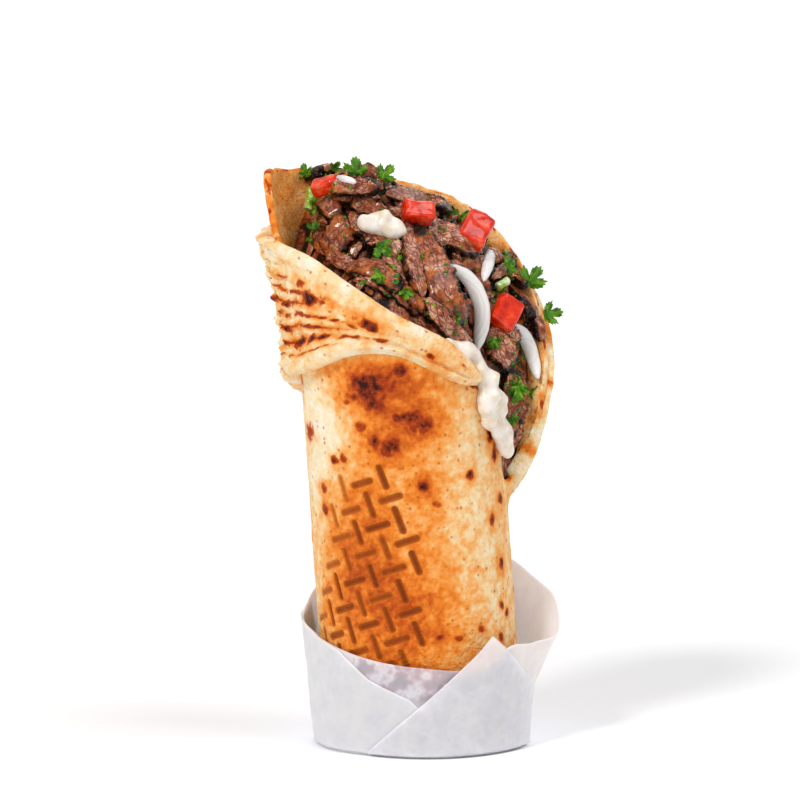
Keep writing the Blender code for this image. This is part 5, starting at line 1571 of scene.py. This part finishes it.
class MeatSettings(bpy.types.PropertyGroup):
    """Colours of the carved meat."""

    gravy: shade_of("Gravy", "Dark juice between the fibres", "#431605")
    flesh: shade_of("Flesh", "Cut meat", "#9C4E30")
    pink: shade_of("Pink", "Pink cut meat", "#C48468")
    fat: shade_of("Fat", "Pale fibres and fat", "#E6B08C")
    crust_dark: shade_of("Dark crust", "Dark brown crust", "#3E1204")
    crust: shade_of("Crust", "Brown crust", "#8F3F18")
    crust_light: shade_of("Light crust", "Golden brown crust", "#D0742E")
    # The char colour also stands for painted shade in the meat's hollows and under its strips.
    char: shade_of("Char", "Burnt tips", "#190903")


class TomatoSettings(bpy.types.PropertyGroup):
    """Colours of the tomato."""

    skin: shade_of("Skin", "Deep red", "#B41400")
    flesh: shade_of("Flesh", "Red flesh", "#E8340A")
    core: shade_of("Core", "Pale flesh", "#F57E54")


class OnionSettings(bpy.types.PropertyGroup):
    """Colours of the onion."""

    flesh: shade_of("Flesh", "Milky flesh", "#FFF9EF")
    shade: shade_of("Shade", "Clearer flesh", "#F3EADE")


class SauceSettings(bpy.types.PropertyGroup):
    """Colours of the yoghurt sauce."""

    thick: shade_of("Thick", "Thick sauce", "#EFE7DE")
    thin: shade_of("Thin", "Thinner sauce", "#DCCBB0")


class GreensSettings(bpy.types.PropertyGroup):
    """Colours of the parsley and the spring onion."""

    dark: shade_of("Dark", "Dark leaf green", "#244E04")
    green: shade_of("Green", "Leaf green", "#417606")
    light: shade_of("Light", "Light green", "#8AB820")
    white: shade_of("White", "The white of a spring onion", "#DDE8C8")


class PaperSettings(bpy.types.PropertyGroup):
    """Colours of the paper sleeve."""

    paper: shade_of("Paper", "Lit paper", "#FAF9FF")
    shade: shade_of("Shade", "Greyer paper", "#EAE9F8")
    damp: shade_of("Damp", "Where the paper is damp", "#A8A6B0")
    grease: shade_of("Grease", "Where the paper is greasy", "#BCADB4")
    toast_stain: shade_of("Toast stain", "Where toasted bread shows through", "#C89A92")


class StageSettings(bpy.types.PropertyGroup):
    """Floor and lamps."""

    floor: shade_of("Floor", "Pale floor", "#FAFAFB")
    fill: strength_of("Fill", "Strength of the light from all round", 0.48)
    key: strength_of("Key", "Strength of the main lamp", 1.55)
    side: strength_of("Side", "Strength of the side lamp", 0.95)
    rim: strength_of("Rim", "Strength of the lamp behind", 0.5)


# ---- Operators ----------------------------------------------------------------------------------


class WRAP_OT_bread(bpy.types.Operator):
    """Make the rolled flatbread and its outer lap"""

    bl_idname = "wrap.bread"
    bl_label = "Flatbread"

    def execute(self, context):
        settings = context.scene.wrap_bread
        finish = flatbread_finish(settings)
        for piece in (make_roll_bread(settings), make_lap_bread(settings)):
            place_piece(piece, finish, "flatbread", "flatbread")
        return {"FINISHED"}


class WRAP_OT_filling(bpy.types.Operator):
    """Make the packed meat, its strips and the chopped herbs on it"""

    bl_idname = "wrap.filling"
    bl_label = "Meat and herbs"

    def execute(self, context):
        settings = context.scene.wrap_meat
        core = make_core()
        meat = make_meat(core)
        herbs = make_herbs(tree_of(core, meat))
        finish = meat_finish(settings)
        for piece in (core, meat):
            place_piece(piece, finish, "roast_meat", "meat_filling")
        place_piece(herbs, parsley_finish(context.scene.wrap_greens), "parsley")
        return {"FINISHED"}


class WRAP_OT_tomato(bpy.types.Operator):
    """Make the diced tomato"""

    bl_idname = "wrap.tomato"
    bl_label = "Tomato"

    def execute(self, context):
        finish = tomato_finish(context.scene.wrap_tomato)
        for node in nodes_named("tomato_"):
            place_piece(make_tomato(node), finish, "tomato", node)
        return {"FINISHED"}


class WRAP_OT_onion(bpy.types.Operator):
    """Make the onion slivers"""

    bl_idname = "wrap.onion"
    bl_label = "Onion"

    def execute(self, context):
        finish = onion_finish(context.scene.wrap_onion)
        for node in nodes_named("onion_"):
            place_piece(make_onion(node), finish, "onion", node)
        return {"FINISHED"}


class WRAP_OT_greens(bpy.types.Operator):
    """Make the parsley leaves and the cut spring onion"""

    bl_idname = "wrap.greens"
    bl_label = "Parsley and spring onion"

    def execute(self, context):
        settings = context.scene.wrap_greens
        finish = parsley_finish(settings)
        for index, (node, place, back, length, turn) in enumerate(PARSLEY_LEAVES):
            place_piece(make_cad_leaf(node, place, back, length, turn, index), finish, "parsley", node)
        finish = scallion_finish(settings)
        for node in nodes_named("scallion_"):
            place_piece(make_scallion(node), finish, "spring_onion", node)
        return {"FINISHED"}


class WRAP_OT_sauce(bpy.types.Operator):
    """Make the yoghurt sauce"""

    bl_idname = "wrap.sauce"
    bl_label = "Sauce"

    def execute(self, context):
        finish = sauce_finish(context.scene.wrap_sauce)
        for node in nodes_named("sauce_"):
            place_piece(make_sauce(node, "yoghurt_" + node), finish, "yoghurt_sauce", node)
        return {"FINISHED"}


class WRAP_OT_paper(bpy.types.Operator):
    """Make the folded paper sleeve"""

    bl_idname = "wrap.paper"
    bl_label = "Paper sleeve"

    def execute(self, context):
        finish = paper_finish(context.scene.wrap_paper)
        sheets = [
            make_sleeve(),
            make_panel("paper_left_panel", LEFT_PANEL, 1),
            make_panel("paper_front_flap", FRONT_FLAP, 2),
        ]
        for sheet in sheets:
            place_piece(sheet, finish, "white_paper", "paper_wrap")
        return {"FINISHED"}


class WRAP_OT_stage(bpy.types.Operator):
    """Set the pale floor, the soft light and the camera"""

    bl_idname = "wrap.stage"
    bl_label = "Stage"

    def execute(self, context):
        make_stage(context.scene.wrap_stage)
        return {"FINISHED"}


def nodes_named(start):
    """The names of the CAD nodes that start with some letters, in order."""
    return sorted(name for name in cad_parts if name.startswith(start))


OPERATORS = [
    WRAP_OT_bread, WRAP_OT_filling, WRAP_OT_tomato, WRAP_OT_onion, WRAP_OT_greens, WRAP_OT_sauce,
    WRAP_OT_paper, WRAP_OT_stage,
]
SETTINGS = {
    "wrap_bread": BreadSettings,
    "wrap_meat": MeatSettings,
    "wrap_tomato": TomatoSettings,
    "wrap_onion": OnionSettings,
    "wrap_sauce": SauceSettings,
    "wrap_greens": GreensSettings,
    "wrap_paper": PaperSettings,
    "wrap_stage": StageSettings,
}


class WRAP_PT_sidebar(bpy.types.Panel):
    """The wrap's pieces and their settings."""

    bl_label = "Shawarma wrap"
    bl_idname = "WRAP_PT_sidebar"
    bl_space_type = "VIEW_3D"
    bl_region_type = "UI"
    bl_category = "Wrap"

    def draw(self, context):
        for operator in OPERATORS:
            self.layout.operator(operator.bl_idname)
        for name, group in SETTINGS.items():
            box = self.layout.box()
            box.label(text=group.__doc__)
            for setting in group.__annotations__:
                box.prop(getattr(context.scene, name), setting)


def register():
    for kind in (*SETTINGS.values(), *OPERATORS, WRAP_PT_sidebar):
        bpy.utils.register_class(kind)
    for name, group in SETTINGS.items():
        setattr(bpy.types.Scene, name, PointerProperty(type=group))


def unregister():
    for name in SETTINGS:
        delattr(bpy.types.Scene, name)
    for kind in (WRAP_PT_sidebar, *reversed(OPERATORS), *reversed(SETTINGS.values())):
        bpy.utils.unregister_class(kind)


def main():
    """Makes every piece in order."""
    register()
    for operator in OPERATORS:
        group, name = operator.bl_idname.split(".")
        getattr(getattr(bpy.ops, group), name)()


if __name__ == "__main__":
    main()
